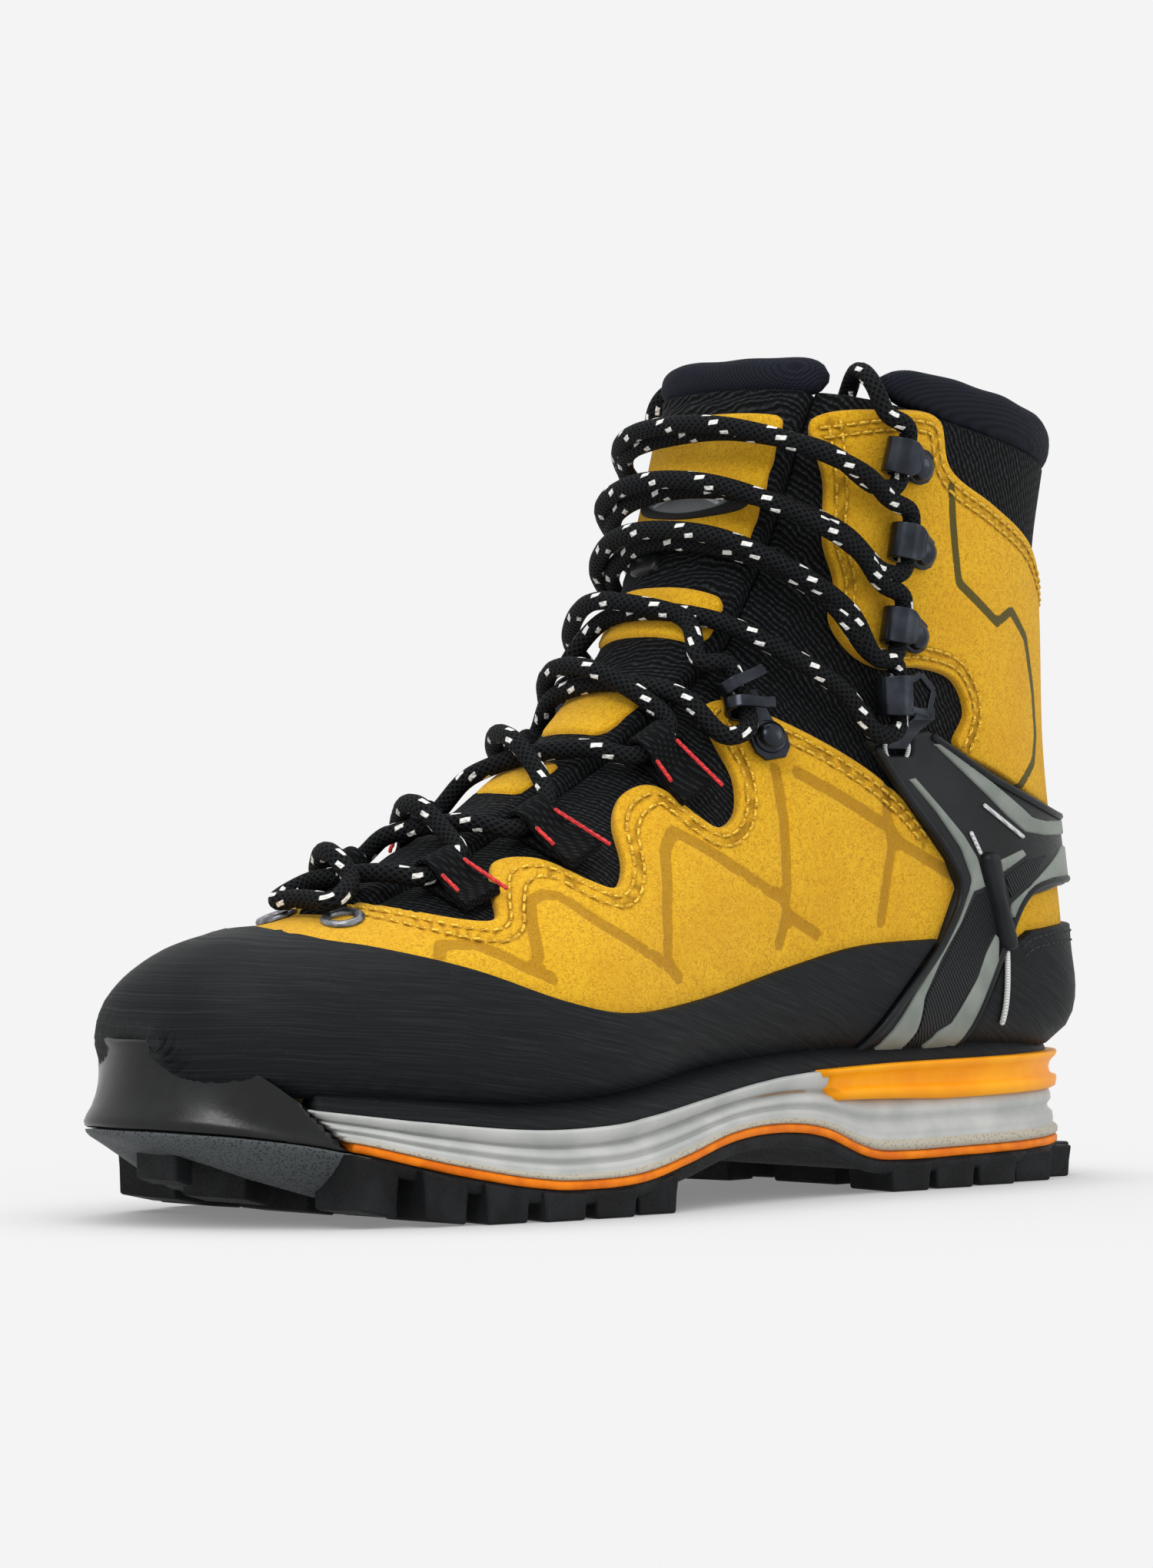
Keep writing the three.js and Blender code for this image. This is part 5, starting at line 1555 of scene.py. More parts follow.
@dataclass
class Sole:
    """Outsole, edge layer, midsole, heel wedge and toe bumper.

    Attributes:
        steps: Points of the outline between two of its table.
        rounds: Passes that smooth the outline.
        deep: How far the end of a wall dives into the sole.
        front: Where the walls behind the bumper begin.
        edge_lugs: Place and share of the half width of each pair of lugs.
        centre_lugs: Place along, place across, length and width of each other lug.
    """

    steps: int = 16
    rounds: int = 60
    deep: float = 9.0
    front: float = -134.0
    edge_lugs: Points = ((-116, 0.8), (-100.5, 0.82), (-85, 0.83), (-69.5, 0.84), (-54, 0.84),
                         (-38.5, 0.83), (64, 0.79), (81, 0.79), (98, 0.79), (115, 0.78),
                         (131, 0.72))
    centre_lugs: Points = ((-124, 4, 9, 22), (-107, 2, 10, 24), (-88, 0, 11, 28),
                           (-68, -2, 11, 30), (-48, -2, 11, 28), (72, 0, 10, 22),
                           (92, 0, 10, 22), (-139, 8, 6, 14))

    def __post_init__(self) -> None:
        """Prepare the outline, outer side first, then back along the inner side."""
        outer, inner = self.dense(SOLE_OUTER), self.dense(SOLE_INNER)
        self.half = len(outer) - 1
        self.loop = np.concatenate([outer, inner[1:-1][::-1]])
        for _ in range(self.rounds):
            self.loop = 0.5 * self.loop + 0.25 * (np.roll(self.loop, 1, 0)
                                                  + np.roll(self.loop, -1, 0))
        step = np.roll(self.loop, -1, 0) - np.roll(self.loop, 1, 0)
        step /= np.linalg.norm(step, axis=1, keepdims=True)
        self.inward = np.stack([-step[:, 1], step[:, 0]], 1)

    def dense(self, rows: Points) -> Array:
        """Smooth line through the points of a table.

        Args:
            rows: Pairs of x and y.

        Returns:
            Points of the line.
        """
        table = np.array(rows, float)
        s = np.linspace(0, len(rows) - 1, (len(rows) - 1) * self.steps + 1)
        return np.stack([catmull(table[:, k], s) for k in (0, 1)], 1)

    def ring(self, inset: object, z: Callable[[Array], Array]) -> Array:
        """Points of the outline at an inset and a height.

        Args:
            inset: Distance inward, or a function of x.
            z: Height as a function of x.

        Returns:
            Points.
        """
        by = inset(self.loop[:, 0]) if callable(inset) else inset
        xy = self.loop + self.inward * np.broadcast_to(by, (len(self.loop),))[:, None]
        return np.concatenate([xy, np.asarray(z(self.loop[:, 0]))[:, None]], 1)

    def sunk(self, inset: float, end: float, deep: Optional[float] = None) -> Height:
        """Inset that dives inward in front of a place along the boot."""
        deep = self.deep if deep is None else deep
        return lambda x: inset + deep * (1 - smoothstep(end - 0.9, end + 0.9, x))

    def sweep(self, rows: Sequence[tuple], keep: Optional[Callable[[Array], Array]] = None,
              caps: bool = True, **fields: Sequence[float]) -> Shape:
        """Wall around the sole.

        Args:
            rows: Pairs of inset and height function, from the bottom to the top.
            keep: Which x it covers; all of it where missing.
            caps: Whether its bottom and top are closed.
            **fields: A number for each row by name.

        Returns:
            The shape.
        """
        rings = [self.ring(inset, z) for inset, z in rows]
        n, m = len(self.loop), len(rings)
        on = keep(self.loop[:, 0]) if keep else np.ones(n, bool)
        verts = np.concatenate(rings)
        faces = []
        for i in range(m - 1):
            for j in range(n):
                k = (j + 1) % n
                if on[j] and on[k]:
                    faces.append([i * n + j, i * n + k, (i + 1) * n + k, (i + 1) * n + j])
        if caps:
            for base, turn in ((0, 1), ((m - 1) * n, -1)):
                for j in range(self.half):
                    quad = [base + j, base + (n - j) % n, base + (n - j - 1) % n, base + j + 1]
                    quad = list(dict.fromkeys(quad))
                    if len(quad) > 2 and on[j] and on[(j + 1) % n]:
                        faces.append(quad[::turn])
        made = Shape()
        spread = {key: np.repeat(values, n) for key, values in fields.items()}
        made.add(verts, faces, **spread)
        return made

    @staticmethod
    def lug(x: float, y: float, long: float, wide: float, turn: float, side: int) -> tuple:
        """One lug: a block narrower at the ground, longer at the edge of the sole.

        Args:
            x: Its place along the boot.
            y: Its place across.
            long: Length.
            wide: Width.
            turn: Turn in radians.
            side: Side that its longer end looks to, 0 for neither.

        Returns:
            Points and faces.
        """
        levels = [(0.0, 0.86), (0.5, 0.9), (1.0, 1.0)]
        corners = [(-1, -1), (1, -1), (1, 1), (-1, 1)]
        verts = []
        for level, taper in levels:
            for a, b in corners:
                grow = 1.0 + 0.1 * b * side
                px, py = a * long / 2 * taper * grow, b * wide / 2 * (0.94 + 0.06 * taper)
                rx = px * math.cos(turn) - py * math.sin(turn)
                ry = px * math.sin(turn) + py * math.cos(turn)
                top = plate_top(x + rx) - 0.6
                bottom = ground_z(x + rx)
                verts.append((x + rx, y + ry, lerp(float(bottom), float(top), level)))
        return verts, closed(len(levels), len(corners))

    def half_width(self, x: float, side: int) -> float:
        """Half width of the sole."""
        rows = self.loop[:self.half + 1] if side < 0 else self.loop[self.half + 1:]
        return abs(rows[np.argmin(np.abs(rows[:, 0] - x)), 1])

    def outsole(self) -> None:
        """Black plate, the bevel that turns up at the toe, and the lugs."""
        table = [(9.0, -2.6), (3.4, -2.5), (2.4, -2.4), (1.7, -3.4), (0.9, -3.3), (0.45, -2.6),
                 (0.25, -1.2), (0.3, 0.0), (5.0, 0.1)]
        rows = [(self.sunk(inset, -119.0, 13.0), raised(plate_top, up)) for inset, up in table]
        self.sweep(rows, sand=[0.0] * len(rows)) \
            .piece("outsole_plate", RUBBER, nodes=["outsole"])
        table = [(22.0, 1.0), (14.5, 1.0), (10.0, 0.78), (5.0, 0.42), (0.9, 0.08)]
        high, low = raised(plate_top, -1.4), raised(ground_z, 0.9)
        rows = [(self.ended(inset), between(high, low, share)) for inset, share in table]
        rows += [(self.ended(inset), raised(plate_top, up))
                 for inset, up in ((0.0, -1.0), (-0.2, -0.3), (3.0, -0.2))]
        self.sweep(rows, lambda x: x < -111, caps=False, sand=[1.0] * len(rows)) \
            .piece("toe_bevel", RUBBER)
        lugs, places = Shape(), []
        for side in (-1, 1):
            places += [(x, side * self.half_width(x, side) * share, 12.2 if x < 0 else 13.2, 17.5,
                        side * 0.1, side) for x, share in self.edge_lugs]
            places.append((139, side * 12.5, 14, 19, 0.0, 0))
        for place in places + [(*lug, 0.0, 0) for lug in self.centre_lugs]:
            verts, faces = self.lug(*place)
            lugs.add(verts, faces, sand=[0.0] * len(verts))
        lugs.piece("outsole_lugs", RUBBER, smooth=False, bevel=0.7)

    def ended(self, inset: float) -> Height:
        """Inset of the bevel, which dives inward behind the toe."""
        return lambda x: inset + self.deep * smoothstep(-118, -112, x)

    def layers(self) -> None:
        """Orange line and midsole."""
        table = [(2.5, 0.1), (0.1, 0.15), (-0.35, 0.6), (-0.4, 1.6), (0.0, 2.2), (2.5, 2.3)]
        rows = [(self.sunk(inset, -121.8), raised(plate_top, up)) for inset, up in table]
        self.sweep(rows, lambda x: x > self.front, caps=False) \
            .piece("edge_line", ORANGE, nodes=["outsole_edge_layer"])
        table = [(0.0, 1.4), (0.01, 0.2), (0.04, -0.45), (0.09, -0.5), (0.12, 0.1), (0.135, 0.8),
                 (0.2, 0.7), (0.27, 0.9), (0.31, 1.9), (0.35, 2.3), (0.39, 1.9), (0.43, 1.3),
                 (0.5, 1.5), (0.57, 2.2), (0.61, 3.4), (0.65, 3.9), (0.69, 3.4), (0.73, 2.5),
                 (0.82, 2.0), (0.93, 1.5), (0.985, 1.7), (1.0, 2.3), (1.0, 8.0)]
        base = raised(orange_z, EDGE_LAYER / 2)
        rows = [(self.sunk(inset, lerp(-122.6, -130.5, share)), between(base, feather_z, share))
                for share, inset in table]
        self.sweep(rows, lambda x: x > self.front, caps=False, rise=[t for t, _ in table]) \
            .piece("midsole_wall", FOAM, nodes=["midsole"])

    @staticmethod
    def grooved(inset: float, groove: float, start: float) -> Height:
        """Inset of a row of the heel wedge."""
        return lambda x: (inset + groove * smoothstep(136, 147, x)
                          + (1 - smoothstep(start - 1.2, start + 0.4, x)) * 5.0)

    def wedge(self) -> None:
        """Yellow wedge of the heel with its clip groove at the back."""
        table = [(0.0, 3.4, 0), (0.01, 1.2, 0), (0.06, 0.2, -1.2), (0.2, 0.0, -1.6),
                 (0.3, 0.1, -1.5), (0.36, 0.9, 0.0), (0.42, 1.6, 2.4), (0.55, 1.9, 3.6),
                 (0.68, 1.6, 2.8), (0.78, 0.9, 0.4), (0.84, 0.2, -0.9), (0.93, -0.2, -1.0),
                 (0.985, 0.0, -0.6), (1.0, 0.6, 0.2), (1.0, 9.0, 0)]
        rows = []
        for share, inset, groove in table:
            start = LEDGE + 1.5 + 7.5 * (1 - share) - 3 * max(0.0, 0.25 - share)
            rows.append((self.grooved(inset, groove, start),
                         between(wedge_bottom, feather_z, share, 0.35 * share)))
        self.sweep(rows, lambda x: x > LEDGE - 3, caps=False) \
            .piece("heel_wedge", WELT, nodes=["heel_welt"])

    @staticmethod
    def bumper_top(x: Array) -> Array:
        """Upper edge of the toe bumper."""
        return np.maximum(bumper_z(x), feather_z(x) + 0.5) + 1.2 * (1 - smoothstep(-150, -140, x))

    def hollow(self, inset: float, share: float) -> Height:
        """Inset of a row of the bumper, hollow at the tip and thin towards its rear end.

        Args:
            inset: Inset at the tip.
            share: Share of the bumper's height.

        Returns:
            Function of x.
        """
        end = lerp(-121.4, -129.6, share)
        near = inset if inset > 5 else min(inset, 0.4 + 0.5 * share)
        return lambda x: (lerp(near, inset, 1 - smoothstep(-152, -134, x))
                          + self.deep * smoothstep(end - 0.3, end + 1.2, x))

    def bumper(self) -> None:
        """Concave rubber cap of the toe with a thin lip."""
        table = [(4.0, 0, 0), (0.4, 0, 0), (-0.3, 0.02, 0), (-0.5, 0.07, 0), (0.1, 0.14, 0),
                 (1.5, 0.24, 0), (2.9, 0.38, 0), (4.0, 0.55, 0), (4.6, 0.72, 0), (4.7, 0.86, 0),
                 (4.3, 0.93, 0), (4.2, 0.97, 0), (4.7, 1, 0.2), (5.6, 1, 0.3), (12.0, 1, -1.0)]
        base = raised(plate_top, 0.1)
        rows = [(self.hollow(inset, share), between(base, self.bumper_top, share, more))
                for inset, share, more in table]
        self.sweep(rows, lambda x: x < -112, caps=False) \
            .piece("toe_cap", GLOSS, nodes=["toe_bumper"])

    def foot(self) -> None:
        """Foot of the rands, turned in over the midsole."""
        table = [(9.0, -0.6), (2.9, -0.4), (2.7, 0.5), (3.4, 2.2), (5.2, 4.4), (9.0, 6.5)]
        rows = [(self.sunk(inset, -128.5), raised(feather_z, up)) for inset, up in table]
        self.sweep(rows, lambda x: x > self.front, caps=False).piece("rand_foot", RAND)

    def build(self) -> None:
        """Make every piece of the sole."""
        self.foot()
        self.outsole()
        self.layers()
        self.wedge()
        self.bumper()


# ------------------------------------------------------------------ upper
@dataclass
class Upper:
    """Rands, suede, textile and heel strap.

    Attributes:
        rubber: Underside and face of the rands above the last.
        leather: The same of the suede.
        frame: The same of the heel strap.
        cloth: The same of the textile.
        lined: The same of the lining.
        double: Distances of two rows of stitches from an edge.
        sewn: Height of the stitches on the suede.
    """

    rubber: tuple = (2.3, 4.3)
    leather: tuple = (0.3, 2.1)
    frame: tuple = (2.3, 4.7)
    cloth: tuple = (-1.2, 0.1)
    lined: tuple = (-5.7, -5.6)
    double: tuple = (2.6, 5.0)
    sewn: float = 2.15

    def rands(self) -> None:
        """Rubber sheets of toe and heel."""
        outline = [[-126, 74], *rounded(TOE_RAND_EDGE, 3).tolist(), [37.6, 31], [36.6, 10],
                   [-170, 10], [-170, 74]]
        sheet = Panel("toe_rand_sheet", outline, *self.rubber, RAND, roll=0.8, grid=3.0).shape()
        tip = LAST.at(np.full(32, 0.005), np.linspace(-1, 1, 33)[:-1], 4.2)
        away = [9.0] * len(tip)
        sheet.add(tip, [list(range(len(tip)))], edge=away, channel=away, line=away, seam=away)
        sheet.piece("toe_rand_sheet", RAND, nodes=["toe_rand"], weld=0.08)
        Panel("heel_rand_sheet", HEEL_RAND, *self.rubber, RAND, roll=0.8, grid=3.0) \
            .build(["heel_rand"])
        rows = Shape()
        seam = Seam([[104, 61.2], [110, 64], [134, 65.5], [150, 66.2]], (2.2, 4.6), 4.32, 1.6,
                    0.9, 0.5)
        for side in SIDES:
            seam.stitch(rows, side)
        rows.piece("heel_rand_stitches", BLACK_THREAD)

    def suede(self) -> None:
        """Golden suede of the vamp and the cuff with its stitches."""
        edge = rounded(SUEDE_EDGE, 1.5)
        outline = [*edge.tolist(), [100, 84], [128, 82], [170, 81], [170, 60], [110, 58],
                   [90, 54], [60, 56], [44, 56], [16, 51], [-20, 44], [-47, 41.5], [-66, 44],
                   [-88, 50], [-106, 54], [-116, 56], [-126, 60], [-135, 80], [-104, 90]]
        seams = Seam(edge, self.double, self.sewn)
        lines = {"channel": CHANNELS, "seam": [r.tolist() for r in seams.rows()]}
        Panel("vamp_suede", outline, *self.leather, SUEDE, roll=1.1, grid=1.7, lines=lines) \
            .build(["lower_suede"])
        cuff = rounded(CUFF_SUEDE, 1.5, closed=True)[:-1]
        upper = rounded([[43, 191], [60, 194], [76, 192.5], [81, 181], [98, 172.5], [117, 164],
                         [132, 153.5], [144, 148], [152, 147.5]], 1.5)
        lower = rounded([[84, 111], [88.5, 119], [84, 127], [71, 130], [58, 129.5], [49, 133],
                         [43, 141], [45, 150], [42.5, 160], [43.5, 175], [43, 191]], 1.5)
        cuff_seams = [Seam(line, self.double, self.sewn) for line in (upper, lower)]
        rows = [r.tolist() for s in cuff_seams for r in s.rows()]
        panel = Panel("cuff_suede_sheet", cuff.tolist(), *self.leather, SUEDE, roll=1.1, grid=1.8,
                      lines={"line": [ZIG_LINE], "seam": rows})
        panel.build(["cuff_suede_outer", "cuff_suede_inner"])
        stitches = Shape()
        for side in (-1, 1):
            for seam in (seams, *cuff_seams):
                seam.stitch(stitches, side)
        stitches.piece("suede_stitches", YELLOW_THREAD)

    @staticmethod
    def edge(u: float) -> list:
        """Place of the throat's edge in the flat pattern."""
        return [u * LONG, float(throat_half(u))]

    @staticmethod
    def bound(points: Points) -> list:
        """Places in the flat pattern of points of the side view."""
        u, v = LAST.locate(np.array(points, float))
        return [[a * LONG, b * float(LAST.girth(a))] for a, b in zip(u, v)]

    def textile(self) -> None:
        """Dark textile under the suede and the lining inside."""
        front = [self.edge(u) for u in np.linspace(0.25, 1.0, 28)]
        rim = [[LONG, m] for m in np.linspace(28, float(LAST.girth(1.0)), 12)]
        seam = [[u * LONG, float(LAST.girth(u))] for u in np.linspace(0.99, 0.7, 16)]
        under = self.bound([[100, 76], [74, 78], [40, 84], [0, 74], [-36, 62], [-70, 58], [-92, 60]])
        start = [[0.22 * LONG, 12], [0.22 * LONG, 0.0], [0.25 * LONG, 0.0]]
        Panel("upper_textile", front + rim + seam + under + start, *self.cloth, MESH,
              roll=0.9, grid=3.0, plan=True).build(["textile_upper"])
        inner = [[0.05 * LONG, 0.1], [0.24 * LONG, 0.1],
                 *[self.edge(u) for u in np.linspace(0.25, 1.0, 20)], *rim,
                 *[[u * LONG, float(LAST.girth(u))] for u in np.linspace(0.99, 0.05, 40)]]
        shape = Panel("lining", inner, *self.lined, LINING, roll=0.6, grid=4.5, plan=True).shape()
        shape.faces = [f[::-1] for f in shape.faces]
        shape.piece("inside_lining", LINING, weld=0.08,
                    nodes=["vamp_lining", "quarter_lining_outer", "quarter_lining_inner"])

    def strap(self) -> None:
        """Moulded heel strap with stripes, ribs, slider and cables."""
        Panel("strap_frame", HEEL_STRAP, *self.frame, MOULDED, roll=1.3, grid=2.2) \
            .build(["heel_strap_outer", "heel_strap_inner"])
        rim = Shape()
        runs = ([[46, 36.5], [56, 45.5], [74.6, 62], [82, 75], [78, 82], [60, 100],
                 [52.5, 109.4]],
                [[72, 112.6], [98, 101.2], [128, 92.9], [152, 94]],
                [[152, 75.5], [128, 76.5], [108.6, 73.4], [98.6, 60.4], [82.4, 33]])
        for side in (-1, 1):
            for run in runs:
                tube(rim, relaxed(LAST.over(rounded(run, 1.0), side, 4.75), 3), 1.05, 8)
        rim.piece("strap_rim", MOULDED)
        for group, table, finish, high in (("stripe", STRIPES, STRIPE, 5.25),
                                           ("ribs", RIBS, RIBBED, 5.0)):
            made = Shape()
            for name, outline in table.items():
                made.join(Panel(name, outline, 4.4, high, finish, roll=0.6, grid=2.0).shape())
            made.piece(f"strap_{group}", finish, weld=0.08)
        Panel("strap_slider", SLIDER, 4.6, 7.4, MOULDED, roll=1.9, grid=1.2, corners=False).build()
        cables = Shape()
        for side in (-1, 1):
            for run, radius in zip(STRAP_CABLES, (0.75, 0.55, 0.55)):
                tube(cables, LAST.over(rounded(run, 1.0), side, 5.0), radius, 8)
        cables.piece("strap_cables", CABLE)

    def build(self) -> None:
        """Make every piece of the upper."""
        self.rands()
        self.suede()
        self.textile()
        self.strap()


# ------------------------------------------------------------------ tongue and padding
@dataclass
class Tongue:
    """Tongue with its patches, badge, keeper tab and the padding at the rim.

    Attributes:
        patches: Name and both ends of each suede patch.
        badge_at: Middle of the badge.
        badge_span: Half its height as a share of the last.
        badge_half: Half its width.
        keeper_ends: Both ends of the keeper tab.
        keeper_edges: Its edges, from the front line.
        sides: Points around a padded roll.
    """

    patches: tuple = (("bottom", 0.43, 0.47), ("lower", 0.5, 0.555), ("middle", 0.61, 0.675),
                      ("top", 0.735, 0.935))
    badge_at: float = 0.803
    badge_span: float = 0.034
    badge_half: float = 17.0
    keeper_ends: tuple = (0.692, 0.73)
    keeper_edges: tuple = (3.0, 12.0)
    sides: int = 26

    @staticmethod
    def half(u: Array) -> Array:
        """Half width of the tongue."""
        return throat_half(u) + 0.4

    def surface(self, u0: float, u1: float, half: Callable[[Array], Array], low: float,
                high: float, roll: float, grid: float = 1.6, swell: float = 0.0,
                shift: float = 0.0, puff: float = 0.0) -> Shape:
        """Rounded rectangle across the front line.

        Args:
            u0: Its toe end.
            u1: Its rim end.
            half: Half width as a function of u.
            low: Height of its edge above the last.
            high: Height of its face.
            roll: Width of its rounded edge.
            grid: Spacing of its points.
            swell: Extra height along the middle.
            shift: Move of its middle to the inner side.
            puff: Depth of soft ripples.

        Returns:
            The shape.
        """
        rows = max(int((u1 - u0) * TONGUE_LONG / grid), 6)
        cols = max(int(2 * float(np.max(half(np.array([u0, u1])))) / grid), 8)
        s = np.linspace(-1, 1, rows + 1)
        t = np.linspace(-1, 1, cols + 1)
        s = np.sign(s) * (1 - (1 - np.abs(s)) ** 1.35)
        t = np.sign(t) * (1 - (1 - np.abs(t)) ** 1.35)
        us = lerp(u0, u1, (s + 1) / 2)
        verts, edges = [], []
        long = (u1 - u0) * TONGUE_LONG / 2
        for a, u in zip(s, us):
            wide = float(half(u))
            corner = min(3.5, wide * 0.6, long * 0.6)
            cut = max(0.0, abs(a) * long - (long - corner))
            width = wide - (corner - math.sqrt(max(corner ** 2 - cut ** 2, 0.0)))
            mm = t * width + shift
            away = np.minimum(width * (1 - np.abs(t)), long * (1 - abs(a)))
            lift = np.sqrt(np.clip(1 - (1 - np.clip(away / roll, 0, 1)) ** 2, 0, 1))
            height = low + (high - low) * lift + swell * (1 - t ** 2)
            height = height + puff * np.sin(u * 160 + t * 1.5) * smoothstep(0, 4, away)
            for m, h in zip(mm, height):
                verts.append(LAST.on(u, float(m), float(h)))
            edges.extend(away)
        made = Shape()
        far = [FAR] * len(verts)
        made.add(verts, strips(rows + 1, cols + 1, False), edge=edges, channel=far, line=far,
                 seam=far)
        return made

    def tongue(self) -> None:
        """Tongue and its suede patches."""
        self.surface(0.25, 1.0, self.half, -2.4, 3.4, 3.6, 1.6, swell=0.7, puff=0.25) \
            .piece("tongue_mesh", MESH, nodes=["tongue"])
        for label, u0, u1 in self.patches:
            patch = self.surface(u0, u1, lambda u: throat_half(u) - 3.4, 3.2, 4.5, 1.2, 1.2,
                                 swell=0.55)
            patch.piece(f"tongue_suede_{label}", SUEDE, nodes=[f"tongue_patch_{label}"])

    def badge(self) -> None:
        """Oval woven badge with a plain chevron."""
        made = Shape()
        rings, around = 14, 64
        verts, edge, motif, faces = [], [], [], []
        tall = self.badge_span * TONGUE_LONG
        for i in range(rings + 1):
            r = math.sin(i / rings * math.pi / 2)
            for j in range(around):
                a = 2 * math.pi * j / around
                x, y = r * math.cos(a), r * math.sin(a)
                u = self.badge_at + self.badge_span * y
                away = (1 - r) * tall
                lift = math.sqrt(max(1 - (1 - min(away / 0.9, 1)) ** 2, 0))
                verts.append(LAST.on(u, x * self.badge_half, 4.7 + 1.2 * lift))
                edge.append(away)
                rise = y * tall
                peak = 2.2 - abs(x * self.badge_half) * 0.42
                motif.append(abs(rise - peak) if abs(x * self.badge_half) < 11 else 9.0)
        for i in range(rings):
            for j in range(around):
                k = (j + 1) % around
                faces.append([i * around + j, (i + 1) * around + j, (i + 1) * around + k,
                              i * around + k])
        made.add(verts, faces, edge=edge, motif=motif)
        made.piece("badge_woven", BADGE, nodes=["tongue_badge"], weld=0.01)

    def keeper(self) -> None:
        """Glossy tab that keeps the lace."""
        low, high = self.keeper_edges
        middle, half = (low + high) / 2, (high - low) / 2
        shape = self.surface(*self.keeper_ends, lambda u: half + 0 * u, 3.4, 5.3, 0.8, 0.8,
                             shift=middle, swell=0.4)
        shape.piece("keeper_tab_gloss", GLOSS, body="keeper", nodes=["lace_keeper_tab"])

    def pad(self, line: Array, wide: float, tall: float, lean: float, name: str,
            node: str) -> None:
        """Stuffed roll along a line, wide and tall, with soft gathers.

        Args:
            line: Points of the centre.
            wide: Width.
            tall: Height.
            lean: Share of the height that the outer face leans in.
            name: Name of the piece.
            node: Node of the frame that it stands for.
        """
        line = relaxed(resampled(line, 1.6), 6)
        verts, n = [], len(line)
        angles = np.linspace(0, 2 * math.pi, self.sides, endpoint=False)
        for i, (p, t) in enumerate(zip(line, directions(line))):
            s = 2 * i / (n - 1) - 1
            ends = max(1 - s ** 10, 0.05) ** 0.5
            side = np.cross((0, 0, 1.0), t)
            side /= np.linalg.norm(side)
            up = np.cross(t, side)
            gather = 0.16 * math.sin(i * 0.55) + 0.1 * math.sin(i * 0.23 + 1.4)
            for a in angles:
                c, d = math.cos(a), math.sin(a)
                ex = np.sign(c) * abs(c) ** 0.8 * (wide / 2 + gather * max(d, 0)) * ends
                ez = np.sign(d) * abs(d) ** 0.8 * (tall / 2 + gather) * ends
                verts.append(p + side * (ex - lean * ez) + up * ez)
        made = Shape()
        made.add(verts, closed(n, self.sides))
        made.piece(name, PADDING, nodes=[node])

    def padding(self) -> None:
        """Collar and tongue top."""
        line = []
        for t in np.linspace(-1, 1, 41):
            side = -1 if t < 0 else 1
            mm = lerp(float(LAST.girth(1.0, side)), 44.0, abs(t)) * side
            line.append(LAST.on(1.0, mm, -3.0) + (0, 0, 5.2))
        self.pad(np.array(line), 10.0, 12.0, 0.05, "collar_roll", "collar_pad")
        line = [LAST.on(0.985, t * 29.0, -1.0) + (0, 0, 5.6) for t in np.linspace(-1, 1, 21)]
        self.pad(np.array(line), 9.5, 9.6, 0.1, "tongue_roll", "tongue_top_pad")

    def pull_tab(self) -> None:
        """Webbing loop at the back of the cuff."""
        top, foot = LAST.at(0.908, 1.0, 2.75), LAST.at(0.872, 1.0, 2.75)
        line = np.array([[top[0] + 0.6, 0, top[2] - 0.8], [top[0] + 5.5, 0, top[2] - 0.8],
                         [top[0] + 8.2, 0, top[2] - 2.6], [top[0] + 8.5, 0, top[2] - 7],
                         [foot[0] + 5.4, 0, foot[2] + 2.6], [foot[0] + 2.8, 0, foot[2] + 0.9],
                         [foot[0] + 0.6, 0, foot[2] + 0.9]])
        band = Shape()
        bar(band, rounded(line, 0.8), 12.0, 1.5)
        band.piece("pull_tab_webbing", WEBBING, body="heel_loop", nodes=["pull_tab"], bevel=0.4)

    def build(self) -> None:
        """Make every piece of the tongue and the padding."""
        self.tongue()
        self.badge()
        self.keeper()
        self.padding()
        self.pull_tab()


def bar(shape: Shape, line: Array, width: float, thick: float, place: Optional[Matrix] = None,
        widths: Optional[Array] = None, cross: Sequence[float] = (0, 1, 0)) -> None:
    """Flat strip bent along a line in a plane.

    Args:
        shape: Shape to add to.
        line: Points of its middle.
        width: Width across the plane.
        thick: Thickness.
        place: Where it goes; as it is where missing.
        widths: Share of the width at each point.
        cross: Direction of the width.
    """
    cross = np.array(cross, float)
    normal = np.cross(directions(line), cross)
    shares = np.ones(len(line)) if widths is None else widths
    verts = []
    for p, n, s in zip(line, normal, shares):
        for a, b in ((-1, -1), (1, -1), (1, 1), (-1, 1)):
            q = p + cross * (a * width / 2 * s) + n * (b * thick / 2)
            verts.append(list(place @ Vector(q)) if place is not None else q)
    shape.add(verts, closed(len(line), 4))


def dome(shape: Shape, place: Matrix, x: float, y: float, z: float,
         profile: Sequence[tuple], around: int = 28) -> None:
    """Turned shape standing on a fitting.

    Args:
        shape: Shape to add to.
        place: Seat of the fitting.
        x: Place along the seat.
        y: Place up the seat.
        z: Height of its foot.
        profile: Pairs of radius and height, from the foot to the top.
        around: Points of a ring.
    """
    verts = []
    for r, h in profile:
        for j in range(around):
            a = 2 * math.pi * j / around
            verts.append(list(place @ Vector((x + r * math.cos(a), y + r * math.sin(a), z + h))))
    faces = closed(len(profile), around)
    shape.add(verts, faces[:-2] + faces[-1:])


# ------------------------------------------------------------------ lacing
class Kind(Enum):
    """Kinds of fittings that hold the lace."""

    EYELET = "eyelet"
    LOOP = "loop"
    LOCKING = "locking"
    STRAP = "strap"
    HOOK = "hook"


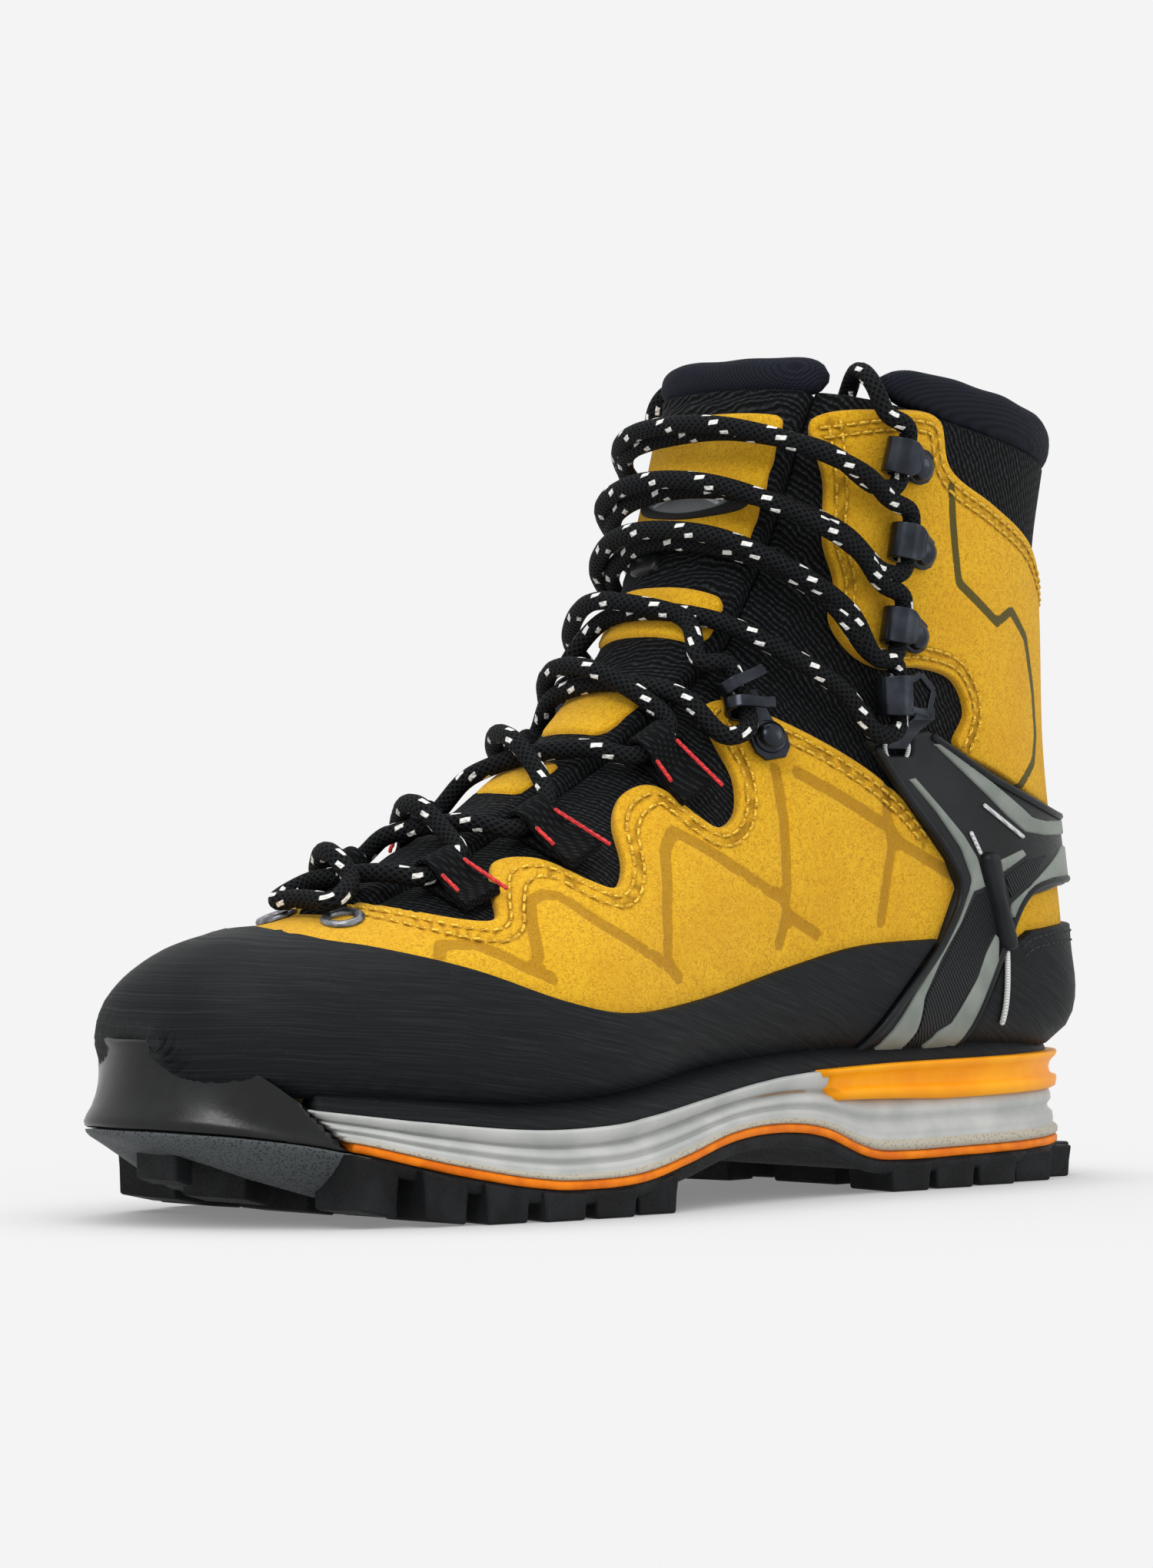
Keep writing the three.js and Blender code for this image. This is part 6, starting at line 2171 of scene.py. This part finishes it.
FITTING_WIDTH = {Kind.EYELET: 9, Kind.LOOP: 9, Kind.HOOK: 9, Kind.STRAP: 10, Kind.LOCKING: 11}
LACE_RADIUS, HOOK_PLATE, HOOK_ROOM, ON_SUEDE = 2.3, 1.2, 6.2, 2.4
ON_TEXTILE, WEB, LOOP_EYE = 0.8, 1.3, 3.0
EYELET_LACE = ON_SUEDE + HOOK_PLATE + LACE_RADIUS
HOOK_LACE = ON_SUEDE + HOOK_PLATE + HOOK_ROOM / 2
LOOP_LACE = ON_TEXTILE + WEB + LOOP_EYE


@dataclass(frozen=True)
class Row:
    """One row of the lacing.

    Attributes:
        kind: Kind of its fittings.
        lift: Height of the lace's centre above the last.
        u: Place from toe to rim, where it lies along the throat.
        mm: Distance from the front line.
        at: Place in the side view otherwise.
        long: Length of a loop's band.
        tilt: Turn of the fitting.
    """

    kind: Kind
    lift: float
    u: float = 0.0
    mm: float = 0.0
    at: tuple = ()
    long: float = 0.0
    tilt: float = 0.0

    def place(self, side: int) -> tuple[float, float]:
        """Where it is on a side.

        Args:
            side: Which side.

        Returns:
            u and signed millimetres from the front line.
        """
        if self.u:
            return self.u, side * self.mm
        u, v = LAST.locate(np.array([self.at]), side)
        return float(u[0]), side * float(v[0] * LAST.girth(u[0], side))

    def seat(self, side: int, offset: float) -> Matrix:
        """Frame of its fitting: x away from the throat on the outer side, z outward.

        Args:
            side: Which side.
            offset: Height above the last.

        Returns:
            The frame in millimetres.
        """
        u, mm = self.place(side)
        v = mm / float(LAST.girth(u, side))
        out = Vector(LAST.normal(u, v))
        up = out.cross(Vector((1.0 if side < 0 else -1.0, 0, 0))).normalized()
        if self.u:
            up = Vector(LAST.at(u + 0.01, v) - LAST.at(u - 0.01, v))
            up = (up - out * up.dot(out)).normalized()
        right = up.cross(out).normalized()
        m = Matrix((right, up, out)).transposed().to_4x4()
        m.translation = Vector(LAST.at(u, v, offset))
        return m @ Matrix.Rotation(self.tilt if side < 0 else -self.tilt, 4, "Z")


@dataclass
class Lacing:
    """The lace and everything that holds it.

    Attributes:
        rows: Rows from the toe to the rim.
        clear: Height of the strands above the last.
        crossing: How far the upper strand passes above the lower.
        badge_lift: How much higher they pass over the badge.
        badge_row: First row above it.
        turn: Room for a bend beside a fitting.
        turn_in: How far the lace leaves a fitting inward.
        beside: The same at a hook.
        rivet: Pairs of radius and height of a dome rivet.
        rivets: The rivets made so far.
    """

    rows: tuple = (
        Row(Kind.EYELET, EYELET_LACE, u=0.253, mm=11),
        Row(Kind.LOOP, LOOP_LACE, u=0.34, mm=15.5, long=11),
        Row(Kind.LOOP, LOOP_LACE, u=0.412, mm=17.5, long=14),
        Row(Kind.LOOP, LOOP_LACE, u=0.51, mm=21, long=13),
        Row(Kind.LOCKING, HOOK_LACE, at=(14.5, 119.5)),
        Row(Kind.STRAP, HOOK_LACE + 0.5, at=(58, 122.2)),
        Row(Kind.HOOK, HOOK_LACE, at=(60, 139.6), tilt=-0.2),
        Row(Kind.HOOK, HOOK_LACE, at=(62.5, 160.5), tilt=-0.2),
        Row(Kind.HOOK, HOOK_LACE, at=(61, 182), tilt=-0.2),
    )
    clear: float = 7.6
    crossing: float = 5.5
    badge_lift: float = 2.2
    badge_row: int = 6
    turn: float = 2.8
    turn_in: float = 1.4
    beside: float = 8.0
    rivet: tuple = ((4.3, -0.2), (4.3, 0.45), (4.1, 0.65), (3.6, 0.7), (3.45, 0.8), (3.35, 1.5),
                    (3.0, 2.2), (2.2, 2.75), (1.2, 3.0), (0.3, 3.05))
    rivets: Shape = field(default_factory=Shape)

    def reach(self, row: Row) -> float:
        """Half the length of lace held by a fitting."""
        return FITTING_WIDTH[row.kind] / 2 + 0.8

    def strand(self, r: int, side: int, over: bool) -> list:
        """Points from a row on one side to the next row on the other.

        Args:
            r: Index of the row.
            side: Side where it starts.
            over: Whether it passes over the other strand.

        Returns:
            Points.
        """
        a, b = self.rows[r].place(side), self.rows[r + 1].place(-side)
        clear = self.clear + (self.badge_lift if r >= self.badge_row else 0)
        span = np.linalg.norm(LAST.on(a[0], a[1], clear) - LAST.on(b[0], a[1], clear))
        leave = (self.reach(self.rows[r]) + self.turn) / span
        arrive = (self.reach(self.rows[r + 1]) + self.turn) / span
        path = [(0.17, 0.1), (0.29, 0.6), (0.41, 1), (0.59, 1), (0.71, 0.6), (0.83, 0.1)] \
            if over else [(0.17, 0), (0.32, 0), (0.5, 0), (0.68, 0), (0.83, 0)]
        return [LAST.on(lerp(a[0], b[0], lerp(leave, 1 - arrive, t)), lerp(a[1], b[1], t),
                        clear + lift * self.crossing) for t, lift in path]

    def through(self, r: int, side: int) -> list:
        """Points through a fitting, from below to above.

        Args:
            r: Index of the row.
            side: Which side.

        Returns:
            Points.
        """
        row = self.rows[r]
        m = row.seat(side, row.lift)
        reach = self.reach(row)
        inward = -1 if side < 0 else 1
        ends = [(self.turn_in, reach + self.turn, 0.8)]
        if not row.u:
            ends.append((self.beside, reach + self.turn + 0.8, 0.4))
        points = [(x, -y, z) for x, y, z in ends][::-1] + [(0, -reach, 0), (0, reach, 0)] + ends
        return [np.array(m @ Vector((inward * x, y, z))) for x, y, z in points]

    def rim(self, mm: float, offset: float, up: float) -> Array:
        """Point near the rim."""
        return LAST.on(1.0, mm, offset) + (0, 0, up)

    def half(self, side: int) -> list:
        """One half of the lace, from the toe to its end inside the collar.

        Args:
            side: Side where it starts.

        Returns:
            Points.
        """
        points, s = [], side
        for r in range(len(self.rows)):
            if r > 0:
                points += self.through(r, s)
            if r + 1 < len(self.rows):
                points += self.strand(r, s, (r % 2 == 0) == (side < 0))
                s = -s
        points += [self.rim(s * 38, 5, 3), self.rim(s * 37, -3, 7), self.rim(s * 37, -11, 1),
                   LAST.on(0.93, s * 37, -11.4), LAST.on(0.87, s * 37, -12)]
        return points

    def lace(self) -> None:
        """The lace as one tube."""
        bar_line = [LAST.on(0.25, t * 9, self.rows[0].lift + 0.4) for t in (-1, -0.4, 0.4, 1)]
        points = self.half(-1)[::-1] + bar_line + self.half(1)
        line = relaxed(rounded(np.array(points), 1.1), 5)
        shape = Shape()
        tube(shape, line, LACE_RADIUS, 14)
        shape.piece("lace_braid", LACE, nodes=["lace"])
        length = float(np.linalg.norm(np.diff(line, axis=0), axis=1).sum())
        LOG.info("lace: %.0f mm long", length)

    @staticmethod
    def arc(cx: float, cz: float, r: float, start: float, end: float, steps: int = 12) -> list:
        """Points of an arc in x and z."""
        return [[cx + r * math.cos(a), 0, cz + r * math.sin(a)]
                for a in np.linspace(start, end, steps + 1)]

    def hook(self, m: Matrix, mirror: int) -> Shape:
        """Open hook: a plate folded over the lace, with a dome rivet.

        Args:
            m: Its seat.
            mirror: 1 on the outer side.

        Returns:
            The shape.
        """
        r = HOOK_ROOM / 2 + HOOK_PLATE / 2
        cz = HOOK_PLATE + HOOK_ROOM / 2
        path = [[11.6, 0, 0.6], [9.5, 0, 0.6], [4, 0, 0.6], [1, 0, 0.6]] \
            + self.arc(-1, cz, r, -math.pi / 2, -1.5 * math.pi, 16) \
            + [[0.4, 0, cz + r], [1.6, 0, cz + r - 0.2], [2.6, 0, cz + r + 0.2]]
        line = np.array(path) * (mirror, 1, 1)
        n = len(line)
        widths = np.ones(n)
        widths[:3] = (0.72, 0.98, 1.04)
        widths[-3:] = (0.96, 0.84, 0.6)
        made = Shape()
        bar(made, line, 9.0, HOOK_PLATE, m, widths)
        dome(self.rivets, m, mirror * 7.6, -0.4, HOOK_PLATE, self.rivet)
        return made

    def locking(self, m: Matrix, mirror: int) -> Shape:
        """Locking hook: rivet foot, neck and two prongs that spread in a V over the lace.

        Args:
            m: Its seat.
            mirror: 1 on the outer side.

        Returns:
            The shape.
        """
        made = Shape()
        r = HOOK_ROOM / 2 + HOOK_PLATE / 2
        cz = HOOK_PLATE + HOOK_ROOM / 2
        foot = np.array([[5.5, -16.2, 0.6], [5.5, -13.8, 0.6], [5.3, -10.5, 0.6],
                         [4.4, -6.5, 0.7], [3.0, -2.0, 0.7], [1.5, 2.5, 0.7]]) * (mirror, 1, 1)
        bar(made, foot, 9.8, 1.3, m, np.array([0.55, 0.95, 1.05, 0.72, 0.85, 0.95]), (1, 0, 0))
        for turn, y in ((0.24, 3.0), (-0.24, -3.0)):
            path = [[4, 0, 0.7], [1, 0, 0.6]] \
                + self.arc(-1, cz, r, -math.pi / 2, -1.5 * math.pi, 14) \
                + [[1.5, 0, cz + r], [4.2, 0, cz + r - 0.2], [6.4, 0, cz + r + 0.5]]
            line = np.array(path) * (mirror, 1, 1)
            widths = np.linspace(1.0, 0.62, len(line))
            seat = m @ Matrix.Translation((0, y, 0)) @ Matrix.Rotation(mirror * turn, 4, "Z")
            bar(made, line, 4.4, HOOK_PLATE, seat, widths)
        dome(self.rivets, m, mirror * 5.5, -10.5, 1.2, self.rivet)
        return made

    def strap_hook(self, m: Matrix, mirror: int) -> tuple[Shape, Shape]:
        """Arch with a diamond window, hung on a short loop of cable.

        Args:
            m: Its seat.
            mirror: 1 on the outer side.

        Returns:
            The metal and the cable.
        """
        made, loop = Shape(), Shape()
        r = HOOK_ROOM / 2 + 0.5 + HOOK_PLATE / 2
        cz = HOOK_PLATE + HOOK_ROOM / 2 + 0.5
        path = [[6, 0, 0.6], [2, 0, 0.6]] + self.arc(-1.5, cz, r, -math.pi / 2, -1.5 * math.pi, 14)
        line = np.array(path + [[0.5, 0, cz + r]]) * (mirror, 1, 1)
        bar(made, line, 10.0, HOOK_PLATE, m, np.linspace(0.9, 1.0, len(line)))
        top = cz + r
        corners = [[-1.2, -3.2], [-0.6, 3.4], [3.4, 5.2], [7.6, 1.2], [5.6, -4.6]]
        ring = np.array([[mirror * x, y, top] for x, y in corners + corners[:1]])
        for a, b in zip(ring[:-1], ring[1:]):
            side = np.cross((b - a) / np.linalg.norm(b - a), (0, 0, 1.0))
            bar(made, np.stack([a, b]), 1.7, 1.2, m, None, side)
        tail = np.array([[4.8, -3.0, top], [4.6, -5.4, top - 0.6], [3.4, -8.0, 4.4],
                         [2.2, -10.6, 2.2], [1.7, -12.6, 1.2]]) * (mirror, 1, 1)
        bar(made, tail, 7.2, 1.3, m, np.array([0.8, 1.0, 1.0, 1.05, 0.9]), (1, 0, 0))
        loop_line = np.array([[-1.8, -10.4, 1.6], [-2.3, -12.6, 1.5], [-1.2, -15.0, 1.3],
                              [1.8, -16.2, 1.2], [4.8, -15.0, 1.3], [5.8, -12.6, 1.5],
                              [5.3, -10.4, 1.6]]) * (mirror, 1, 1)
        dense = rounded(loop_line, 0.6)
        tube(loop, np.array([list(m @ Vector(p)) for p in dense]), 0.6, 8)
        return made, loop

    def eyelet(self, m: Matrix) -> Shape:
        """Turned ring in the suede.

        Args:
            m: Its seat.

        Returns:
            The shape.
        """
        made = Shape()
        profile = [(5.2, -0.1), (5.15, 0.5), (4.6, 1.0), (3.9, 1.05), (3.2, 0.8), (3.0, 0.3),
                   (2.9, -0.2)]
        dome(made, m, 0, 0, 0, profile)
        made.faces.pop()
        return made

    def web_loop(self, m: Matrix, mirror: int, row: Row) -> tuple[Shape, Shape]:
        """Webbing loop around the lace, with its red stitches.

        Args:
            m: Its seat.
            mirror: 1 on the outer side.
            row: Its row.

        Returns:
            The webbing and the thread.
        """
        made, thread = Shape(), Shape()
        r = LOOP_EYE + WEB / 2
        cz = WEB + LOOP_EYE
        path = [[row.long + 3, 0, 0.1], [row.long, 0, 0.6], [r + 3, 0, 0.75]] \
            + self.arc(0, cz, r, -math.pi / 2 + 0.5, -1.5 * math.pi - 0.6, 18) \
            + [[r + 3.5, 0, 3.0], [row.long * 0.8, 0, 1.9], [row.long + 3, 0, 1.4]]
        line = relaxed(rounded(np.array(path) * (mirror, 1, 1), 0.8), 2)
        wide = np.interp(np.linspace(0, 1, len(line)), [0, 0.3, 0.7, 1], [1.25, 1, 1, 1.25])
        bar(made, line, 9.0, WEB, m, wide)
        for y, start, end in ((4.1, r + 0.4, row.long + 6), (-4.1, r + 1.5, r + 7)):
            rise = [max(2.4, 6.4 - 0.36 * (x - r)) for x in (start, end)]
            run = np.array([[mirror * start, y, rise[0]], [mirror * end, y * 1.15, rise[1]]])
            dense = rounded(run, 0.7, smooth=False)
            dense[:, 2] += 0.12 * np.sin(np.arange(len(dense)) * 2.2)
            tube(thread, np.array([list(m @ Vector(p)) for p in dense]), 0.5, 7)
        return made, thread

    def build(self) -> None:
        """Make the lace and every fitting."""
        self.lace()
        counts: dict = {}
        red = Shape()
        for row in self.rows:
            counts[row.kind] = counts.get(row.kind, 0) + 1
            i = counts[row.kind]
            for side, label in SIDES.items():
                mirror = 1 if side < 0 else -1
                base = ON_TEXTILE if row.kind is Kind.LOOP else ON_SUEDE
                m = row.seat(side, base)
                if row.kind is Kind.EYELET:
                    self.eyelet(m).piece(f"eyelet_ring_{label}", STEEL, nodes=[f"eyelet_{label}"])
                elif row.kind is Kind.LOOP:
                    band, thread = self.web_loop(m, mirror, row)
                    band.piece(f"loop_band_{i}_{label}", WEBBING, nodes=[f"web_loop_{i}_{label}"],
                               bevel=0.3)
                    red.join(thread)
                elif row.kind is Kind.LOCKING:
                    self.locking(m, mirror).piece(f"lock_{label}", GUNMETAL, bevel=0.35,
                                                  nodes=[f"locking_hook_{label}"])
                elif row.kind is Kind.STRAP:
                    body = f"{label}_strap_end"
                    metal, loop = self.strap_hook(m, mirror)
                    metal.piece(f"strap_end_{label}", GUNMETAL, body=body, bevel=0.3,
                                nodes=[f"strap_hook_{label}"])
                    loop.piece(f"strap_loop_{label}", CABLE)
                else:
                    self.hook(m, mirror).piece(f"speed_hook_{i}_{label}", GUNMETAL, bevel=0.35,
                                               nodes=[f"hook_{i}_{label}"])
        red.piece("loop_stitches", RED_THREAD)
        self.rivets.piece("hook_rivets", GUNMETAL)


# ------------------------------------------------------------------ what stays from the frame
@dataclass
class Inside:
    """Pieces inside the boot, kept as the frame has them.

    Attributes:
        finishes: Name and finish of each.
        soft: Width of their rounded edges in metres.
    """

    finishes: tuple = (("shank_plate", STEEL), ("lasting_board", BOARD), ("toe_puff", BOARD),
                       ("heel_counter", BOARD), ("footbed", LINING))
    soft: float = 0.0004

    def build(self) -> None:
        """Give each kept node its material."""
        for name, finish in self.finishes:
            node = frame["nodes"][name]
            node = node if isinstance(node, bpy.types.Object) else bpy.data.objects[name]
            node.data.materials.clear()
            node.data.materials.append(finish.material())
            edge = node.modifiers.new("edges", "BEVEL")
            edge.width, edge.segments = self.soft, 2
            LOG.info("%s: kept, %s", name, finish.name)


# ------------------------------------------------------------------ studio
@dataclass
class Studio:
    """Pale floor, soft light and the camera; lengths in metres.

    Attributes:
        white: Brightness of the background and the floor.
        far: Half the size of the floor.
        lamps: Name, place, aim, size and power of each softbox.
        eye: Place of the camera.
        lens: Its focal length in millimetres.
        look: Its pitch and turn in degrees.
    """

    white: float = 0.905
    far: float = 6.0
    lamps: tuple = (("key", (-0.75, -0.35, 0.85), (-0.03, 0, 0.08), (0.45, 0.3), 4.6),
                    ("fill", (0.55, -0.95, 0.55), (0.02, 0, 0.1), (0.5, 0.7), 1.6),
                    ("top", (0.0, 0.1, 1.1), (0, 0, 0.1), (0.8, 0.5), 2.4))
    eye: tuple = (-0.92515, -0.91094, 0.088)
    lens: float = 165.67
    look: tuple = (90.564, -45.0)

    def floor(self) -> None:
        """Floor as bright as the background, with a painted contact shadow where the boot stands
        close.
        """
        data = bpy.data.meshes.new("floor")
        far = self.far
        data.from_pydata([(-far, -far, 0), (far, -far, 0), (far, far, 0), (-far, far, 0)], [],
                         [[0, 1, 2, 3]])
        made = placed("floor", data)
        g = Graph("floor")
        near = g.node("ShaderNodeAmbientOcclusion", {"Distance": 0.05}, output="AO",
                      samples=12)
        wide = g.node("ShaderNodeAmbientOcclusion", {"Distance": 0.25}, output="AO",
                      samples=12)
        # painted contact shadow: ambient occlusion darkens the floor's glow near the boot
        shade = near.ramp(0, 1, 0.3, 1.0) * wide.ramp(0, 1, 0.72, 1.0)
        g.dress(Base_Color=(0, 0, 0, 1), Roughness=1.0, Specular_IOR_Level=0.0,
                Emission_Color=shade.mix((0.02, 0.02, 0.02, 1), (*[self.white] * 3, 1)),
                Emission_Strength=1.0)
        data.materials.append(g.material)
        made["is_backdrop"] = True

    def lights(self) -> None:
        """World and softboxes."""
        world = bpy.data.worlds.new("studio")
        world.use_nodes = True
        back = world.node_tree.nodes["Background"]
        back.inputs[0].default_value = (*[self.white] * 3, 1)
        back.inputs[1].default_value = 1.0
        bpy.context.scene.world = world
        for name, at, aim, size, power in self.lamps:
            lamp = bpy.data.lights.new(name, "AREA")
            lamp.shape, lamp.size, lamp.size_y, lamp.energy = "RECTANGLE", *size, power
            made = placed(name, lamp)
            made.location = at
            made.rotation_euler = (Vector(aim) - Vector(at)).to_track_quat("-Z", "Y").to_euler()
            made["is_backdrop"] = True

    def camera(self) -> None:
        """Camera at the outer side of the toe, almost level."""
        data = bpy.data.cameras.new("camera")
        data.lens, data.sensor_width, data.sensor_fit = self.lens, 36.0, "HORIZONTAL"
        data.clip_start, data.clip_end = 0.05, 30.0
        made = placed("camera", data)
        made.location = self.eye
        made.rotation_euler = (math.radians(self.look[0]), 0, math.radians(self.look[1]))
        bpy.context.scene.camera = made
        bpy.context.scene.view_settings.view_transform = "Standard"
        made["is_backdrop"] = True

    def build(self) -> None:
        """Set the studio up."""
        self.floor()
        self.lights()
        self.camera()


def plain(box: object) -> list:
    """Box as lists of numbers.

    Args:
        box: Pairs of vectors or numbers.

    Returns:
        Nested lists.
    """
    if hasattr(box, "__len__"):
        return [plain(b) for b in box]
    return float(box)


def main() -> None:
    """Build the boot and the studio and note the size."""
    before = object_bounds()
    Studio().build()
    Sole().build()
    Upper().build()
    Tongue().build()
    Lacing().build()
    Inside().build()
    {"frame": plain(before), "visual": plain(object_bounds())}
    LOG.info("size: %s", plain(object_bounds()))


if __name__ == "__main__":
    main()
